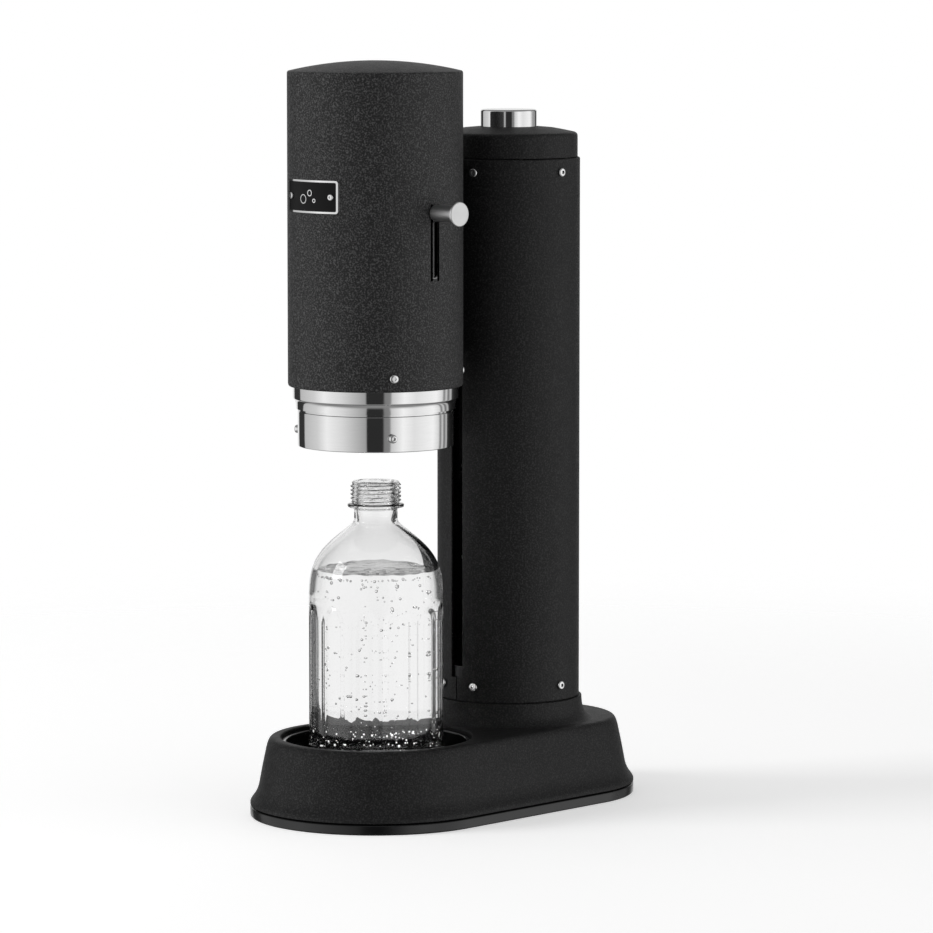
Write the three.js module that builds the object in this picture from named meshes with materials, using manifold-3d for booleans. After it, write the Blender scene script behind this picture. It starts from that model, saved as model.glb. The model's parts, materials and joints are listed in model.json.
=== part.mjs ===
// Soda carbonator: a hand-worked machine that gasses water in a glass bottle.
// A round head and a round column stand on one base. A steel shield hangs in the head and slides
// down over the bottle, driven from a side lever through a rack and a pair of gears in the column.
// Millimetres, +Z up, front towards -Y. The origin is under the middle of the footprint.

import * as THREE from 'three';
import { mergeVertices } from 'three/addons/utils/BufferGeometryUtils.js';
import Module from 'manifold-3d';

const wasm = await Module();
wasm.setup();

// ---------------------------------------------------------------- driving dimensions

const GAP = 0.3;                 // clearance between pieces that touch

const BOTTLE_R = 41.8;           // bottle body
const BOTTLE_HEIGHT = 180.7;     // foot to mouth
const BOTTLE_WALL = 3;
const BOTTLE_NECK_R = 13;        // plain neck under the bead
const BOTTLE_BORE_R = 10;

const SHIELD_CLEARANCE = 4.7;    // bottle to the inside of the shield
const SHIELD_WALL = 1.2;
const HEM_STEP = 1.1;            // the hem stands this far proud of the shield tube
const HEM_HEIGHT = 18.7;
const HEM_RAISE = 22.3;          // hem above the bottle's mouth when the shield is up
const HEM_FLOOR_GAP = 5.3;       // hem above the tray floor when the shield is down
const HEM_SCREW_PROUD = 4;
const SHIELD_ABOVE_SEAL = 48.7;  // top of the shield tube over the mouth seal

const HEAD_GAP = 5.25;           // shield tube to the inside of the head shell
const HEAD_WALL = 1.3;
const HEAD_BELOW = 37.3;         // head shell's lower edge above the hem
const CREASE_GAP = 5.6;          // shield tube's top to the start of the dome
const DOME_RISE = 7.5;
const COLLAR_HEIGHT = 14.1;      // bright ring that shows under the head shell

const GAS_R = 30;                // carbon dioxide cylinder
const GAS_LENGTH = 369;
const GAS_FOOT_Z = 12;
const GAS_BACK = 8.2;            // cylinder's axis behind the column's
const VALVE_R = 11;

const NECK_REACH = 14.45;        // head shell to column
const COLUMN_WALL = 1.3;
const VALVE_ROOM = 25.3;         // cylinder's top to the column's
const RACK_ROOM = 8.7;           // the rack may rise this far past the column's top
const COLUMN_SPARE = 13.8;       // room beside the gas cylinder for the drive
const COLUMN_FOOT_Z = 64.3;
const SLOT_HALF = 4.95;          // half-width of the column's front slot
const SLOT_FOOT_Z = 79;
const CAP_HEIGHT = 18.4;

const BUTTON_R = 17.8;
const BUTTON_PROUD = 11.8;       // button top above the cap's cone
const BUTTON_WALL = 2;

const BASE_DECK_Z = 49.3;
const BASE_WALL = 2.5;
const FOOT_HEIGHT = 6.2;
const FOOT_RIM = 8;
const FOOT_SHADOW = 1;           // open line between the foot ring and the shell
const TRAY_FLOOR_Z = 28;
const TRAY_RIM_Z = 46.7;
const TRAY_WALL = 2;
const TRAY_RIM_WIDTH = 3.3;
const TRAY_MARGIN = 3.2;         // hem screws to the tray's wall
const BASE_MARGIN = 19.3;        // tray rim to the foot's front edge
const BACK_MARGIN = 25.1;        // column to the foot's back circle
const BACK_SHIFT = 14;           // back circle's centre behind the column's

const MODULE = 0.8;              // gear tooth size
const TOOTH_TIP = MODULE * 0.8;
const TOOTH_ROOT = MODULE * 1.05;
const GEAR_TEETH = 55;
const PINION_TEETH = 10;
const PRESSURE_ANGLE = THREE.MathUtils.degToRad(25);
const BACKLASH = 0.15;
const DRIVE_DEPTH = 9.3;         // column's front to the pinion
const PINION_WIDTH = 5.4;
const GEAR_WIDTH = 4;
const CHASSIS_THICK = 2.2;
const RACK_BACK = 3.1;           // rack bar behind its teeth
const RACK_SPARE = 4;            // rack past the gear at each end of its stroke
const AXLE_R = 2;

const LEVER_R = 4.75;
const LEVER_LENGTH = 19;
const LEVER_DISC_R = 7.65;
const LEVER_NECK_R = 3.1;
const LEVER_BELOW = 28.9;        // lever at rest below the column's top

const ARM_LEFT = [-4.4, -0.8];   // shield arm, across the slot
const ARM_RIGHT = [0.8, 4.4];    // lever arm, across the slot
const ARM_HEIGHT = 26;
const LEVER_ARM_HEIGHT = 12;

const PLATE_RAISE = 108.7;       // nameplate above the head shell's lower edge
const PLATE_HEIGHT = 20.1;

const SCREW_HEAD_R = 2.8;
const SCREW_HEAD_H = 1.7;
const SCREW_R = 1.3;

const ROUND = 40;                // sides of a large round piece
const ROUND_MID = 26;
const ROUND_SMALL = 16;

// ---------------------------------------------------------------- worked-out sizes

const SHIELD_IN = BOTTLE_R + SHIELD_CLEARANCE;
const SHIELD_OUT = SHIELD_IN + SHIELD_WALL;
const HEM_R = SHIELD_OUT + HEM_STEP;
const HEAD_IN = SHIELD_OUT + HEAD_GAP;
const HEAD_R = HEAD_IN + HEAD_WALL;
const COLUMN_IN = GAS_R + COLUMN_SPARE;
const COLUMN_R = COLUMN_IN + COLUMN_WALL;
const COLUMN_Y = HEAD_R + NECK_REACH + COLUMN_R;
const COLUMN_FRONT = COLUMN_Y - COLUMN_R;

const BASE_PLATE_Z = [FOOT_HEIGHT + GAP, FOOT_HEIGHT + GAP + 2.5];
const BOTTLE_FOOT_Z = TRAY_FLOOR_Z + GAP;
const MOUTH_Z = BOTTLE_FOOT_Z + BOTTLE_HEIGHT;
const HEM_Z = MOUTH_Z + HEM_RAISE;
const TRAVEL = HEM_Z - TRAY_FLOOR_Z - HEM_FLOOR_GAP;
const LEVER_TRAVEL = TRAVEL * PINION_TEETH / GEAR_TEETH;
const SEAL_Z = MOUTH_Z + TRAVEL + GAP;
const SHIELD_TOP = SEAL_Z + SHIELD_ABOVE_SEAL;
const HEAD_FOOT_Z = HEM_Z + HEAD_BELOW;
const HEAD_CREASE_Z = SHIELD_TOP + CREASE_GAP;
const HEAD_TOP_Z = HEAD_CREASE_Z + DOME_RISE;

const GEAR_R = MODULE * GEAR_TEETH / 2;
const PINION_R = MODULE * PINION_TEETH / 2;
const GEAR_Z = BASE_PLATE_Z[1] + 2 + RACK_SPARE + TRAVEL;
const RACK_TOP = GEAR_Z + TRAVEL + RACK_SPARE;
const GAS_TOP_Z = GAS_FOOT_Z + GAS_LENGTH;
const COLUMN_TOP_Z = Math.max(GAS_TOP_Z + VALVE_ROOM, RACK_TOP - RACK_ROOM);
const CAP_TOP_Z = COLUMN_TOP_Z + CAP_HEIGHT;
const BUTTON_TOP_Z = CAP_TOP_Z + BUTTON_PROUD;
const GAS_Y = COLUMN_Y + GAS_BACK;

const depthFrom = (front, width) => [front, front + width];
const PINION_Y = depthFrom(COLUMN_FRONT + DRIVE_DEPTH, PINION_WIDTH);
const GEAR_Y = depthFrom(PINION_Y[1] + 2 * GAP, GEAR_WIDTH);
const CHASSIS_Y = depthFrom(GEAR_Y[1] + 2 * GAP, CHASSIS_THICK);
const CHASSIS_HALF = 28;
const COLUMN_RING_Z = [COLUMN_TOP_Z - 12.3, COLUMN_TOP_Z - 1.8];
const COLUMN_RING_IN = COLUMN_IN - 2.9;
const ARM_TOP = COLUMN_RING_Z[0] - 2;
const ARM_Z = [ARM_TOP - ARM_HEIGHT, ARM_TOP];
const LEVER_Z = COLUMN_TOP_Z - LEVER_BELOW;
const LEVER_ARM_Z = [LEVER_Z - LEVER_ARM_HEIGHT / 2, LEVER_Z + LEVER_ARM_HEIGHT / 2];
const SLOT_TOP_Z = COLUMN_TOP_Z - 2.3;
const NECK_PLATE = [SLOT_HALF + 0.35, SLOT_HALF + 2.55];
const NECK_GAP_HALF = NECK_PLATE[1] + 0.4;
const NECK_FOOT_Z = HEAD_FOOT_Z + 16.7;
const SLIDER_R = [SHIELD_OUT + 1.3, HEAD_IN - 1.15];

const TRAY_IN = HEM_R + HEM_SCREW_PROUD + TRAY_MARGIN;
const TRAY_RIM_R = TRAY_IN + TRAY_RIM_WIDTH;
const WELL_R = TRAY_RIM_R + GAP;
const FRONT_R = TRAY_RIM_R + BASE_MARGIN;
const BACK_R = COLUMN_R + BACK_MARGIN;
const BACK_Y = COLUMN_Y + BACK_SHIFT;
const FOOTPRINT_MIDDLE_Y = (BACK_Y + BACK_R - FRONT_R) / 2;

const SHELL_SCREWS_Z = HEAD_FOOT_Z + 8.4;
const SHELL_SCREW_ANGLES = [-60, 60, 150, -150];
const HEM_SCREWS_Z = HEM_Z + 8.7;
const HEM_SCREW_ANGLES = [-60, 60, 180];
const COLUMN_SCREW_ANGLES = [-93, -17, 17, 93];
const COLUMN_SCREWS_Z = [COLUMN_FOOT_Z + 9.7, COLUMN_TOP_Z - 8.3];
const NECK_SCREW_ANGLES = [165, -165];
const NECK_SCREWS_Z = NECK_FOOT_Z + 15;
const PLATE_ANGLE = THREE.MathUtils.degToRad(24.2);
const PLATE_Z = [HEAD_FOOT_Z + PLATE_RAISE, HEAD_FOOT_Z + PLATE_RAISE + PLATE_HEIGHT];
const PLATE_THICK = 1.1;
const PLATE_SCREW_ANGLE = 18.3;

// ---------------------------------------------------------------- solids

// A closed mesh with shared vertices merged, no slivers, and its faces pointing out.
function closed(geometry) {
  const bare = geometry.clone();
  bare.deleteAttribute('normal');
  bare.deleteAttribute('uv');
  const merged = mergeVertices(bare, 1e-4);
  const position = merged.getAttribute('position');
  const index = merged.getIndex().array;
  const kept = [];
  const [a, b, c] = [new THREE.Vector3(), new THREE.Vector3(), new THREE.Vector3()];
  let volume = 0;
  for (let i = 0; i < index.length; i += 3) {
    const [p, q, r] = [index[i], index[i + 1], index[i + 2]];
    if (p === q || q === r || r === p) continue;
    kept.push(p, q, r);
    a.fromBufferAttribute(position, p);
    b.fromBufferAttribute(position, q);
    c.fromBufferAttribute(position, r);
    volume += a.dot(b.cross(c));
  }
  if (volume < 0) kept.reverse();
  merged.setIndex(kept);
  return merged;
}

function solid(geometry) {
  const mesh = closed(geometry);
  return new wasm.Manifold(new wasm.Mesh({
    numProp: 3,
    vertProperties: new Float32Array(mesh.getAttribute('position').array),
    triVerts: new Uint32Array(mesh.getIndex().array),
  }));
}

function fromSolid(manifold) {
  const mesh = manifold.getMesh();
  const geometry = new THREE.BufferGeometry();
  geometry.setAttribute('position', new THREE.BufferAttribute(mesh.vertProperties, 3));
  geometry.setIndex(new THREE.BufferAttribute(mesh.triVerts, 1));
  return geometry;
}

function join(...geometries) {
  return fromSolid(geometries.map(solid).reduce((whole, next) => whole.add(next)));
}

function cut(geometry, ...tools) {
  return fromSolid(tools.map(solid).reduce((whole, tool) => whole.subtract(tool), solid(geometry)));
}

function overlap(first, second) {
  return fromSolid(solid(first).intersect(solid(second)));
}

// A turned solid about the Z axis, from [radius, height] pairs.
function turned(profile, sides = ROUND) {
  const points = profile.map(([radius, height]) => new THREE.Vector2(radius, height));
  const geometry = new THREE.LatheGeometry(points, sides);
  geometry.rotateX(Math.PI / 2);
  return closed(geometry);
}

// A tube or ring: a turned rectangle.
function ring(inner, outer, low, high, sides = ROUND) {
  return turned([[inner, low], [outer, low], [outer, high], [inner, high], [inner, low]], sides);
}

function rod(radius, low, high, sides = ROUND_SMALL) {
  return turned([[0, low], [radius, low], [radius, high], [0, high]], sides);
}

function box(x, y, z) {
  const geometry = new THREE.BoxGeometry(x[1] - x[0], y[1] - y[0], z[1] - z[0]);
  geometry.translate((x[0] + x[1]) / 2, (y[0] + y[1]) / 2, (z[0] + z[1]) / 2);
  return closed(geometry);
}

function extruded(outline, low, high, holes = []) {
  const shape = new THREE.Shape(outline.map(([x, y]) => new THREE.Vector2(x, y)));
  for (const hole of holes) shape.holes.push(new THREE.Path(hole.map(([x, y]) => new THREE.Vector2(x, y))));
  const geometry = new THREE.ExtrudeGeometry(shape, { depth: high - low, bevelEnabled: false });
  geometry.translate(0, 0, low);
  return closed(geometry);
}

// A point on a circle about [0, y]; the angle in degrees runs from the front towards the lever side.
function around(radius, degrees, y = 0) {
  const angle = THREE.MathUtils.degToRad(degrees);
  return [radius * Math.sin(angle), y - radius * Math.cos(angle)];
}

// A curved strip between two radii and two angles.
function strip(radii, angles, z, steps, y = 0) {
  const outline = [];
  const angleAt = (i) => angles[0] + (angles[1] - angles[0]) * i / steps;
  for (let i = 0; i <= steps; i += 1) outline.push(around(radii[1], angleAt(i), y));
  for (let i = steps; i >= 0; i -= 1) outline.push(around(radii[0], angleAt(i), y));
  return extruded(outline, z[0], z[1]);
}

function circle(x, y, radius, sides) {
  const points = [];
  for (let i = 0; i < sides; i += 1) {
    const angle = 2 * Math.PI * i / sides;
    points.push([x + radius * Math.cos(angle), y + radius * Math.sin(angle)]);
  }
  return points;
}

// Turns a piece made along +Z so that it points away from a vertical axis at [0, y].
function outward(geometry, degrees, height, y = 0) {
  const turnedPiece = geometry.clone();
  turnedPiece.rotateX(Math.PI / 2);
  turnedPiece.rotateZ(THREE.MathUtils.degToRad(degrees));
  turnedPiece.translate(0, y, height);
  return turnedPiece;
}

function drill(degrees, height, radii, y = 0, radius = SCREW_R + GAP) {
  return outward(rod(radius, radii[0], radii[1], 8), degrees, height, y);
}

// The outline round the two circles of the footprint, at an offset from the foot's edge.
function footprint(offset, steps = 14) {
  const lean = Math.asin((FRONT_R - BACK_R) / BACK_Y);
  const front = (angle) => [(FRONT_R + offset) * Math.cos(angle), (FRONT_R + offset) * Math.sin(angle)];
  const points = [front(Math.PI - lean)];
  for (let i = 0; i <= steps; i += 1) points.push(front(Math.PI + Math.PI * i / steps));
  points.push(front(lean));
  for (let i = 0; i <= steps; i += 1) {
    const angle = lean + (Math.PI - 2 * lean) * i / steps;
    points.push([(BACK_R + offset) * Math.cos(angle), BACK_Y + (BACK_R + offset) * Math.sin(angle)]);
  }
  return points;
}

// A solid lofted through footprint outlines, from [offset, height] pairs going up.
function lofted(profile) {
  const vertices = [];
  const index = [];
  const count = footprint(0).length;
  for (const [offset, height] of profile) {
    for (const [x, y] of footprint(offset)) vertices.push(x, y, height);
  }
  for (let level = 0; level + 1 < profile.length; level += 1) {
    for (let i = 0; i < count; i += 1) {
      const [a, b] = [level * count + i, level * count + (i + 1) % count];
      index.push(a, b, b + count, a, b + count, a + count);
    }
  }
  const last = (profile.length - 1) * count;
  for (let i = 1; i + 1 < count; i += 1) {
    index.push(0, i + 1, i);
    index.push(last, last + i, last + i + 1);
  }
  const geometry = new THREE.BufferGeometry();
  geometry.setAttribute('position', new THREE.BufferAttribute(new Float32Array(vertices), 3));
  geometry.setIndex(index);
  return closed(geometry);
}

// ---------------------------------------------------------------- placing

const machine = new THREE.Group();
machine.position.y = -FOOTPRINT_MIDDLE_Y;

const finishes = {
  powder_coat: { color: 0x1b1b1c, roughness: 0.8, metalness: 0 },
  gloss_black: { color: 0x0b0b0c, roughness: 0.25, metalness: 0 },
  rubber: { color: 0x101010, roughness: 0.6, metalness: 0 },
  polished_steel: { color: 0xd8d8d8, roughness: 0.15, metalness: 1 },
  brushed_steel: { color: 0xb8b8b8, roughness: 0.35, metalness: 1 },
  aluminium: { color: 0xa8abae, roughness: 0.45, metalness: 1 },
  brass: { color: 0xb9974f, roughness: 0.4, metalness: 1 },
  nylon: { color: 0x2a2a2c, roughness: 0.55, metalness: 0 },
  seal_rubber: { color: 0x8c8c8c, roughness: 0.7, metalness: 0 },
  glass: { color: 0xf2f5f5, roughness: 0.05, metalness: 0 },
};

function place(name, geometry, finish, position = [0, 0, 0]) {
  const mesh = new THREE.Mesh(closed(geometry), new THREE.MeshStandardMaterial(finishes[finish]));
  mesh.name = name;
  mesh.position.set(...position);
  machine.add(mesh);
  return mesh;
}

// ---------------------------------------------------------------- screws

// A button-head screw along +Z with a hexagonal socket; its head sits on the plane z = 0.
function buttonScrew(length, proud = SCREW_HEAD_H) {
  const body = turned([
    [0, -length], [SCREW_R, -length], [SCREW_R, 0], [SCREW_HEAD_R, 0],
    [SCREW_HEAD_R, proud * 0.45], [SCREW_HEAD_R * 0.62, proud], [0, proud],
  ], 8);
  return cut(body, rod(SCREW_HEAD_R * 0.42, proud * 0.45, proud + 1, 6));
}

function placeScrew(name, degrees, height, radius, length, y = 0, proud = SCREW_HEAD_H) {
  const mesh = place(name, buttonScrew(length, proud), 'polished_steel');
  const [x, seatY] = around(radius + GAP, degrees, y);
  mesh.position.set(x, seatY, height);
  mesh.rotation.set(Math.PI / 2, 0, THREE.MathUtils.degToRad(degrees), 'ZYX');
}

// ---------------------------------------------------------------- base

const SKIRT = [
  [0, FOOT_HEIGHT + FOOT_SHADOW], [0, 9], [-2, 11.7], [-4.1, 15.5], [-6, 23], [-10.1, 41.8],
  [-11.4, 45.6], [-13.9, BASE_DECK_Z],
];
const PAN_FLOOR_Z = TRAY_FLOOR_Z - TRAY_WALL - GAP;
const COLLAR_FLARE = [
  [9.4, -0.6], [6.1, 0.3], [3.7, 4.2], [2.3, 8.1], [1.6, COLUMN_FOOT_Z - GAP - BASE_DECK_Z],
];
const BASE_SCREWS = [
  [-FRONT_R * 0.51, -FRONT_R * 0.32], [FRONT_R * 0.51, -FRONT_R * 0.32],
  [-BACK_R * 0.48, BACK_Y + BACK_R * 0.5], [BACK_R * 0.48, BACK_Y + BACK_R * 0.5],
];
const BASE_SCREW_REACH = 18;

function footRing() {
  return extruded(footprint(0), 0, FOOT_HEIGHT, [footprint(-FOOT_RIM)]);
}

function basePlate() {
  const plate = extruded(footprint(-3.2), ...BASE_PLATE_Z, [circle(0, GAS_Y, GAS_R + 2.5, ROUND_MID)]);
  const holes = BASE_SCREWS.map(([x, y]) => rod(1.8 + GAP, 0, 20, 12).translate(x, y, 0));
  return cut(plate, ...holes);
}

function baseShell() {
  const inside = SKIRT.map(([offset, z]) => [offset - BASE_WALL, Math.min(z, BASE_DECK_Z - BASE_WALL)]);
  inside[0][1] -= 1;
  const hollow = lofted(inside.filter(([, z], i) => i === 0 || z > inside[i - 1][1]));
  const skirt = cut(lofted(SKIRT), hollow);
  const pan = rod(WELL_R + BASE_WALL, PAN_FLOOR_Z - 2.2, BASE_DECK_Z - 1, ROUND);
  const flare = turned([
    [0, BASE_DECK_Z - 1.6], ...COLLAR_FLARE.map(([r, z]) => [COLUMN_R + r, BASE_DECK_Z + z]),
    [0, COLUMN_FOOT_Z - GAP],
  ]).translate(0, COLUMN_Y, 0);
  const bosses = BASE_SCREWS.map(([x, y], i) => {
    const top = i < 2 ? PAN_FLOOR_Z - 1 : BASE_DECK_Z - 1;
    return rod(4.5, BASE_PLATE_Z[1] + GAP, top, 12).translate(x, y, 0);
  });
  const body = join(skirt, pan, flare, ...bosses);
  const well = rod(WELL_R, PAN_FLOOR_Z, BASE_DECK_Z + 30, ROUND);
  const bore = rod(COLUMN_IN, 0, COLUMN_FOOT_Z + 1, ROUND).translate(0, COLUMN_Y, 0);
  const pilots = BASE_SCREWS.map(([x, y]) => {
    return rod(1.8 + GAP, 0, FOOT_HEIGHT + BASE_SCREW_REACH - 3, 12).translate(x, y, 0);
  });
  return cut(body, well, bore, ...pilots);
}

function dripTray() {
  const outer = TRAY_IN + TRAY_WALL;
  return turned([
    [0, TRAY_FLOOR_Z - TRAY_WALL], [outer - 2, TRAY_FLOOR_Z - TRAY_WALL], [outer, TRAY_FLOOR_Z],
    [outer, TRAY_RIM_Z - 2], [TRAY_RIM_R, TRAY_RIM_Z - 1.6], [TRAY_RIM_R, TRAY_RIM_Z - 0.5],
    [TRAY_RIM_R - 0.5, TRAY_RIM_Z], [TRAY_IN + 0.8, TRAY_RIM_Z], [TRAY_IN, TRAY_RIM_Z - 0.8],
    [TRAY_IN, TRAY_FLOOR_Z + 2], [TRAY_IN - 2, TRAY_FLOOR_Z], [0, TRAY_FLOOR_Z],
  ]);
}

function baseScrew() {
  const body = turned([[0, -2.8], [3.4, -2.8], [3.4, 0], [1.8, 0], [1.8, 12], [0, 12]], 12);
  return cut(body, rod(1.6, -4, -1.4, 6));
}

function placeBase() {
  place('foot_ring', footRing(), 'rubber');
  place('base_plate', basePlate(), 'nylon');
  place('base_shell', baseShell(), 'powder_coat');
  place('drip_tray', dripTray(), 'gloss_black');
  BASE_SCREWS.forEach(([x, y], i) => {
    place(`base_screw_${i + 1}`, baseScrew(), 'brushed_steel', [x, y, FOOT_HEIGHT - 0.3]);
  });
}

// ---------------------------------------------------------------- bottle

const THREAD_PITCH = 4.2;

function bottle() {
  const z = (above) => BOTTLE_FOOT_Z + above;
  const shoulder = (t) => {
    const angle = t * Math.PI / 2;
    return [BOTTLE_NECK_R + (BOTTLE_R - BOTTLE_NECK_R) * Math.cos(angle), z(102 + 49 * Math.sin(angle))];
  };
  const mouth = z(BOTTLE_HEIGHT);
  const outside = [
    [0, z(3)], [BOTTLE_R * 0.72, z(1.5)], [BOTTLE_R * 0.8, z(0)], [BOTTLE_R * 0.94, z(0.8)], [BOTTLE_R, z(5)],
    ...[0, 0.25, 0.5, 0.75, 0.95].map(shoulder),
  ];
  const neck = [
    [BOTTLE_NECK_R, mouth - 19], [BOTTLE_NECK_R + 4.5, mouth - 16.5], [BOTTLE_NECK_R + 4.5, mouth - 14.5],
    [BOTTLE_NECK_R + 1, mouth - 13],
  ];
  for (let turn = 0; turn < 2; turn += 1) {
    const crest = mouth - 9.5 + turn * THREAD_PITCH;
    const root = BOTTLE_NECK_R + 1;
    neck.push([root, crest - 1.4], [BOTTLE_NECK_R + 2.6, crest], [root, crest + 1.4]);
  }
  const inside = [
    [BOTTLE_BORE_R + 0.6, mouth], [BOTTLE_BORE_R, mouth - 1], [BOTTLE_BORE_R, mouth - 24],
    ...[0.8, 0.5, 0.25, 0].map(shoulder).map(([r, h]) => [r - BOTTLE_WALL, h - BOTTLE_WALL * 0.6]),
    [BOTTLE_R - BOTTLE_WALL, z(10)], [BOTTLE_R * 0.8, z(6.5)], [0, z(7)],
  ];
  return turned([...outside, ...neck, [BOTTLE_NECK_R + 1, mouth], ...inside], 28);
}

// ---------------------------------------------------------------- column

function columnShell() {
  const tube = ring(COLUMN_IN, COLUMN_R, COLUMN_FOOT_Z, COLUMN_TOP_Z).translate(0, COLUMN_Y, 0);
  const front = [COLUMN_FRONT - 5, COLUMN_FRONT + 8];
  const slot = box([-SLOT_HALF, SLOT_HALF], front, [SLOT_FOOT_Z, SLOT_TOP_Z]);
  const seam = box([-0.4, 0.4], front, [COLUMN_FOOT_Z - 5, SLOT_FOOT_Z + 1]);
  const holes = COLUMN_SCREWS_Z.flatMap((z) => COLUMN_SCREW_ANGLES.map((angle) => {
    return drill(angle, z, [COLUMN_IN - 4, COLUMN_R + 2], COLUMN_Y);
  }));
  return cut(tube, slot, seam, ...holes);
}

// The ring that a row of column screws bites into.
function screwRing(z, screwsZ, extraCuts = []) {
  const body = ring(COLUMN_RING_IN, COLUMN_IN - GAP, z[0], z[1], ROUND_MID).translate(0, COLUMN_Y, 0);
  const holes = COLUMN_SCREW_ANGLES.map((angle) => {
    return drill(angle, screwsZ, [COLUMN_RING_IN - 2, COLUMN_IN + 1], COLUMN_Y);
  });
  return cut(body, ...holes, ...extraCuts);
}

function columnCap() {
  const z = (above) => COLUMN_TOP_Z + above;
  const bore = BUTTON_R + 0.4;
  return turned([
    [bore, z(6)], [bore + 2, z(6)], [bore + 2, CAP_TOP_Z - 1.8], [COLUMN_R - 17.5, CAP_TOP_Z - 2.6],
    [COLUMN_R - 4.4, z(14.2)], [COLUMN_R - 3.2, z(12.4)], [COLUMN_R - 3.2, z(GAP)], [COLUMN_R - 1.5, z(GAP)],
    [COLUMN_R - 1.5, z(13.2)], [COLUMN_R - 2, z(14.6)], [COLUMN_R - 3, z(16)], [COLUMN_R - 16.5, CAP_TOP_Z],
    [bore, CAP_TOP_Z + 1], [bore, z(6)],
  ], 32).translate(0, COLUMN_Y, 0);
}

function chassisPlate() {
  const plate = box([-CHASSIS_HALF, CHASSIS_HALF], CHASSIS_Y, [BASE_PLATE_Z[1] + GAP, COLUMN_TOP_Z - 2.3]);
  const bearing = rod(AXLE_R + GAP, CHASSIS_Y[0] - 2, CHASSIS_Y[1] + 2).rotateX(-Math.PI / 2);
  return cut(plate, bearing.translate(0, 0, GEAR_Z));
}

function valveBlock() {
  const low = GAS_TOP_Z - 15;
  const high = COLUMN_TOP_Z - 4.3;
  const body = rod(24, low, high, ROUND_MID).translate(0, GAS_Y, 0);
  const lug = box([-12, 12], [CHASSIS_Y[1] + GAP, GAS_Y - 18], [low + 4, high - 2]);
  const socket = rod(VALVE_R + GAP, low - 1, GAS_TOP_Z + 5, ROUND_SMALL).translate(0, GAS_Y, 0);
  const bore = rod(2.6, low, high + 1, ROUND_SMALL).translate(0, GAS_Y, 0);
  return cut(join(body, lug), socket, bore);
}

function gasCylinder() {
  const shoulder = GAS_TOP_Z - 48;
  return turned([
    [0, GAS_FOOT_Z + 4], [GAS_R * 0.6, GAS_FOOT_Z + 3], [GAS_R * 0.75, GAS_FOOT_Z],
    [GAS_R - 2, GAS_FOOT_Z + 1.5], [GAS_R, GAS_FOOT_Z + 6], [GAS_R, shoulder], [GAS_R * 0.92, shoulder + 8],
    [GAS_R * 0.7, shoulder + 16], [14, shoulder + 21], [13, shoulder + 28], [0, shoulder + 28],
  ], ROUND_MID);
}

function cylinderValve() {
  const foot = GAS_TOP_Z - 20 + GAP;
  return turned([
    [0, foot], [12.5, foot], [12.5, foot + 3], [VALVE_R - 0.3, foot + 4], [VALVE_R - 0.3, GAS_TOP_Z - 1],
    [VALVE_R - 1.3, GAS_TOP_Z], [0, GAS_TOP_Z],
  ], ROUND_SMALL);
}

function placeColumn() {
  place('column_shell', columnShell(), 'powder_coat');
  const socketZ = [BASE_PLATE_Z[1] + GAP, COLUMN_FOOT_Z + 21.7];
  place('column_socket', screwRing(socketZ, COLUMN_SCREWS_Z[0]), 'nylon');
  const gate = box([-SLOT_HALF, SLOT_HALF], [COLUMN_FRONT - 2, COLUMN_FRONT + 8], [0, CAP_TOP_Z]);
  place('column_ring', screwRing(COLUMN_RING_Z, COLUMN_SCREWS_Z[1], [gate]), 'nylon');
  place('column_cap', columnCap(), 'powder_coat');
  place('chassis_plate', chassisPlate(), 'brushed_steel');
  place('valve_block', valveBlock(), 'brass');
  place('gas_cylinder', gasCylinder(), 'aluminium', [0, GAS_Y, 0]);
  place('cylinder_valve', cylinderValve(), 'brass', [0, GAS_Y, 0]);
  COLUMN_SCREWS_Z.forEach((z, row) => COLUMN_SCREW_ANGLES.forEach((angle, i) => {
    placeScrew(`column_screw_${row ? 'top' : 'foot'}_${i + 1}`, angle, z, COLUMN_R, 3.5, COLUMN_Y);
  }));
}

// ---------------------------------------------------------------- button

const BUTTON_SKIRT_Z = COLUMN_TOP_Z + 7.5;
const BUTTON_ROOF_Z = BUTTON_TOP_Z - 2.5;
const STEM_FOOT_Z = COLUMN_TOP_Z + 2.7;

function gasButton() {
  const inner = BUTTON_R - BUTTON_WALL;
  const cup = turned([
    [0, BUTTON_ROOF_Z], [inner, BUTTON_ROOF_Z], [inner, BUTTON_SKIRT_Z], [BUTTON_R, BUTTON_SKIRT_Z],
    [BUTTON_R, BUTTON_TOP_Z - 1.5], [BUTTON_R - 0.4, BUTTON_TOP_Z - 0.5], [BUTTON_R - 1.4, BUTTON_TOP_Z],
    [0, BUTTON_TOP_Z],
  ], ROUND_MID).translate(0, COLUMN_Y, 0);
  return join(cup, rod(3, STEM_FOOT_Z, BUTTON_ROOF_Z + 1).translate(0, GAS_Y, 0));
}

function buttonSpring() {
  const [low, high, turns, radius, wire] = [COLUMN_TOP_Z - 3.3, BUTTON_ROOF_Z - 1, 5, 5.6, 0.6];
  class Helix extends THREE.Curve {
    getPoint(t, target = new THREE.Vector3()) {
      const angle = 2 * Math.PI * turns * t;
      return target.set(radius * Math.cos(angle), radius * Math.sin(angle), low + (high - low) * t);
    }
  }
  const section = new THREE.Shape(circle(0, 0, wire, 5).map(([x, y]) => new THREE.Vector2(x, y)));
  const options = { steps: turns * 8, extrudePath: new Helix(), bevelEnabled: false };
  return new THREE.ExtrudeGeometry(section, options);
}

function placeButton() {
  place('gas_button', gasButton(), 'polished_steel');
  place('button_spring', buttonSpring(), 'brushed_steel', [0, GAS_Y, 0]);
  place('valve_pin', rod(2, GAS_TOP_Z + 4.5, STEM_FOOT_Z - GAP, 12), 'brushed_steel', [0, GAS_Y, 0]);
}

// ---------------------------------------------------------------- head

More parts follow.
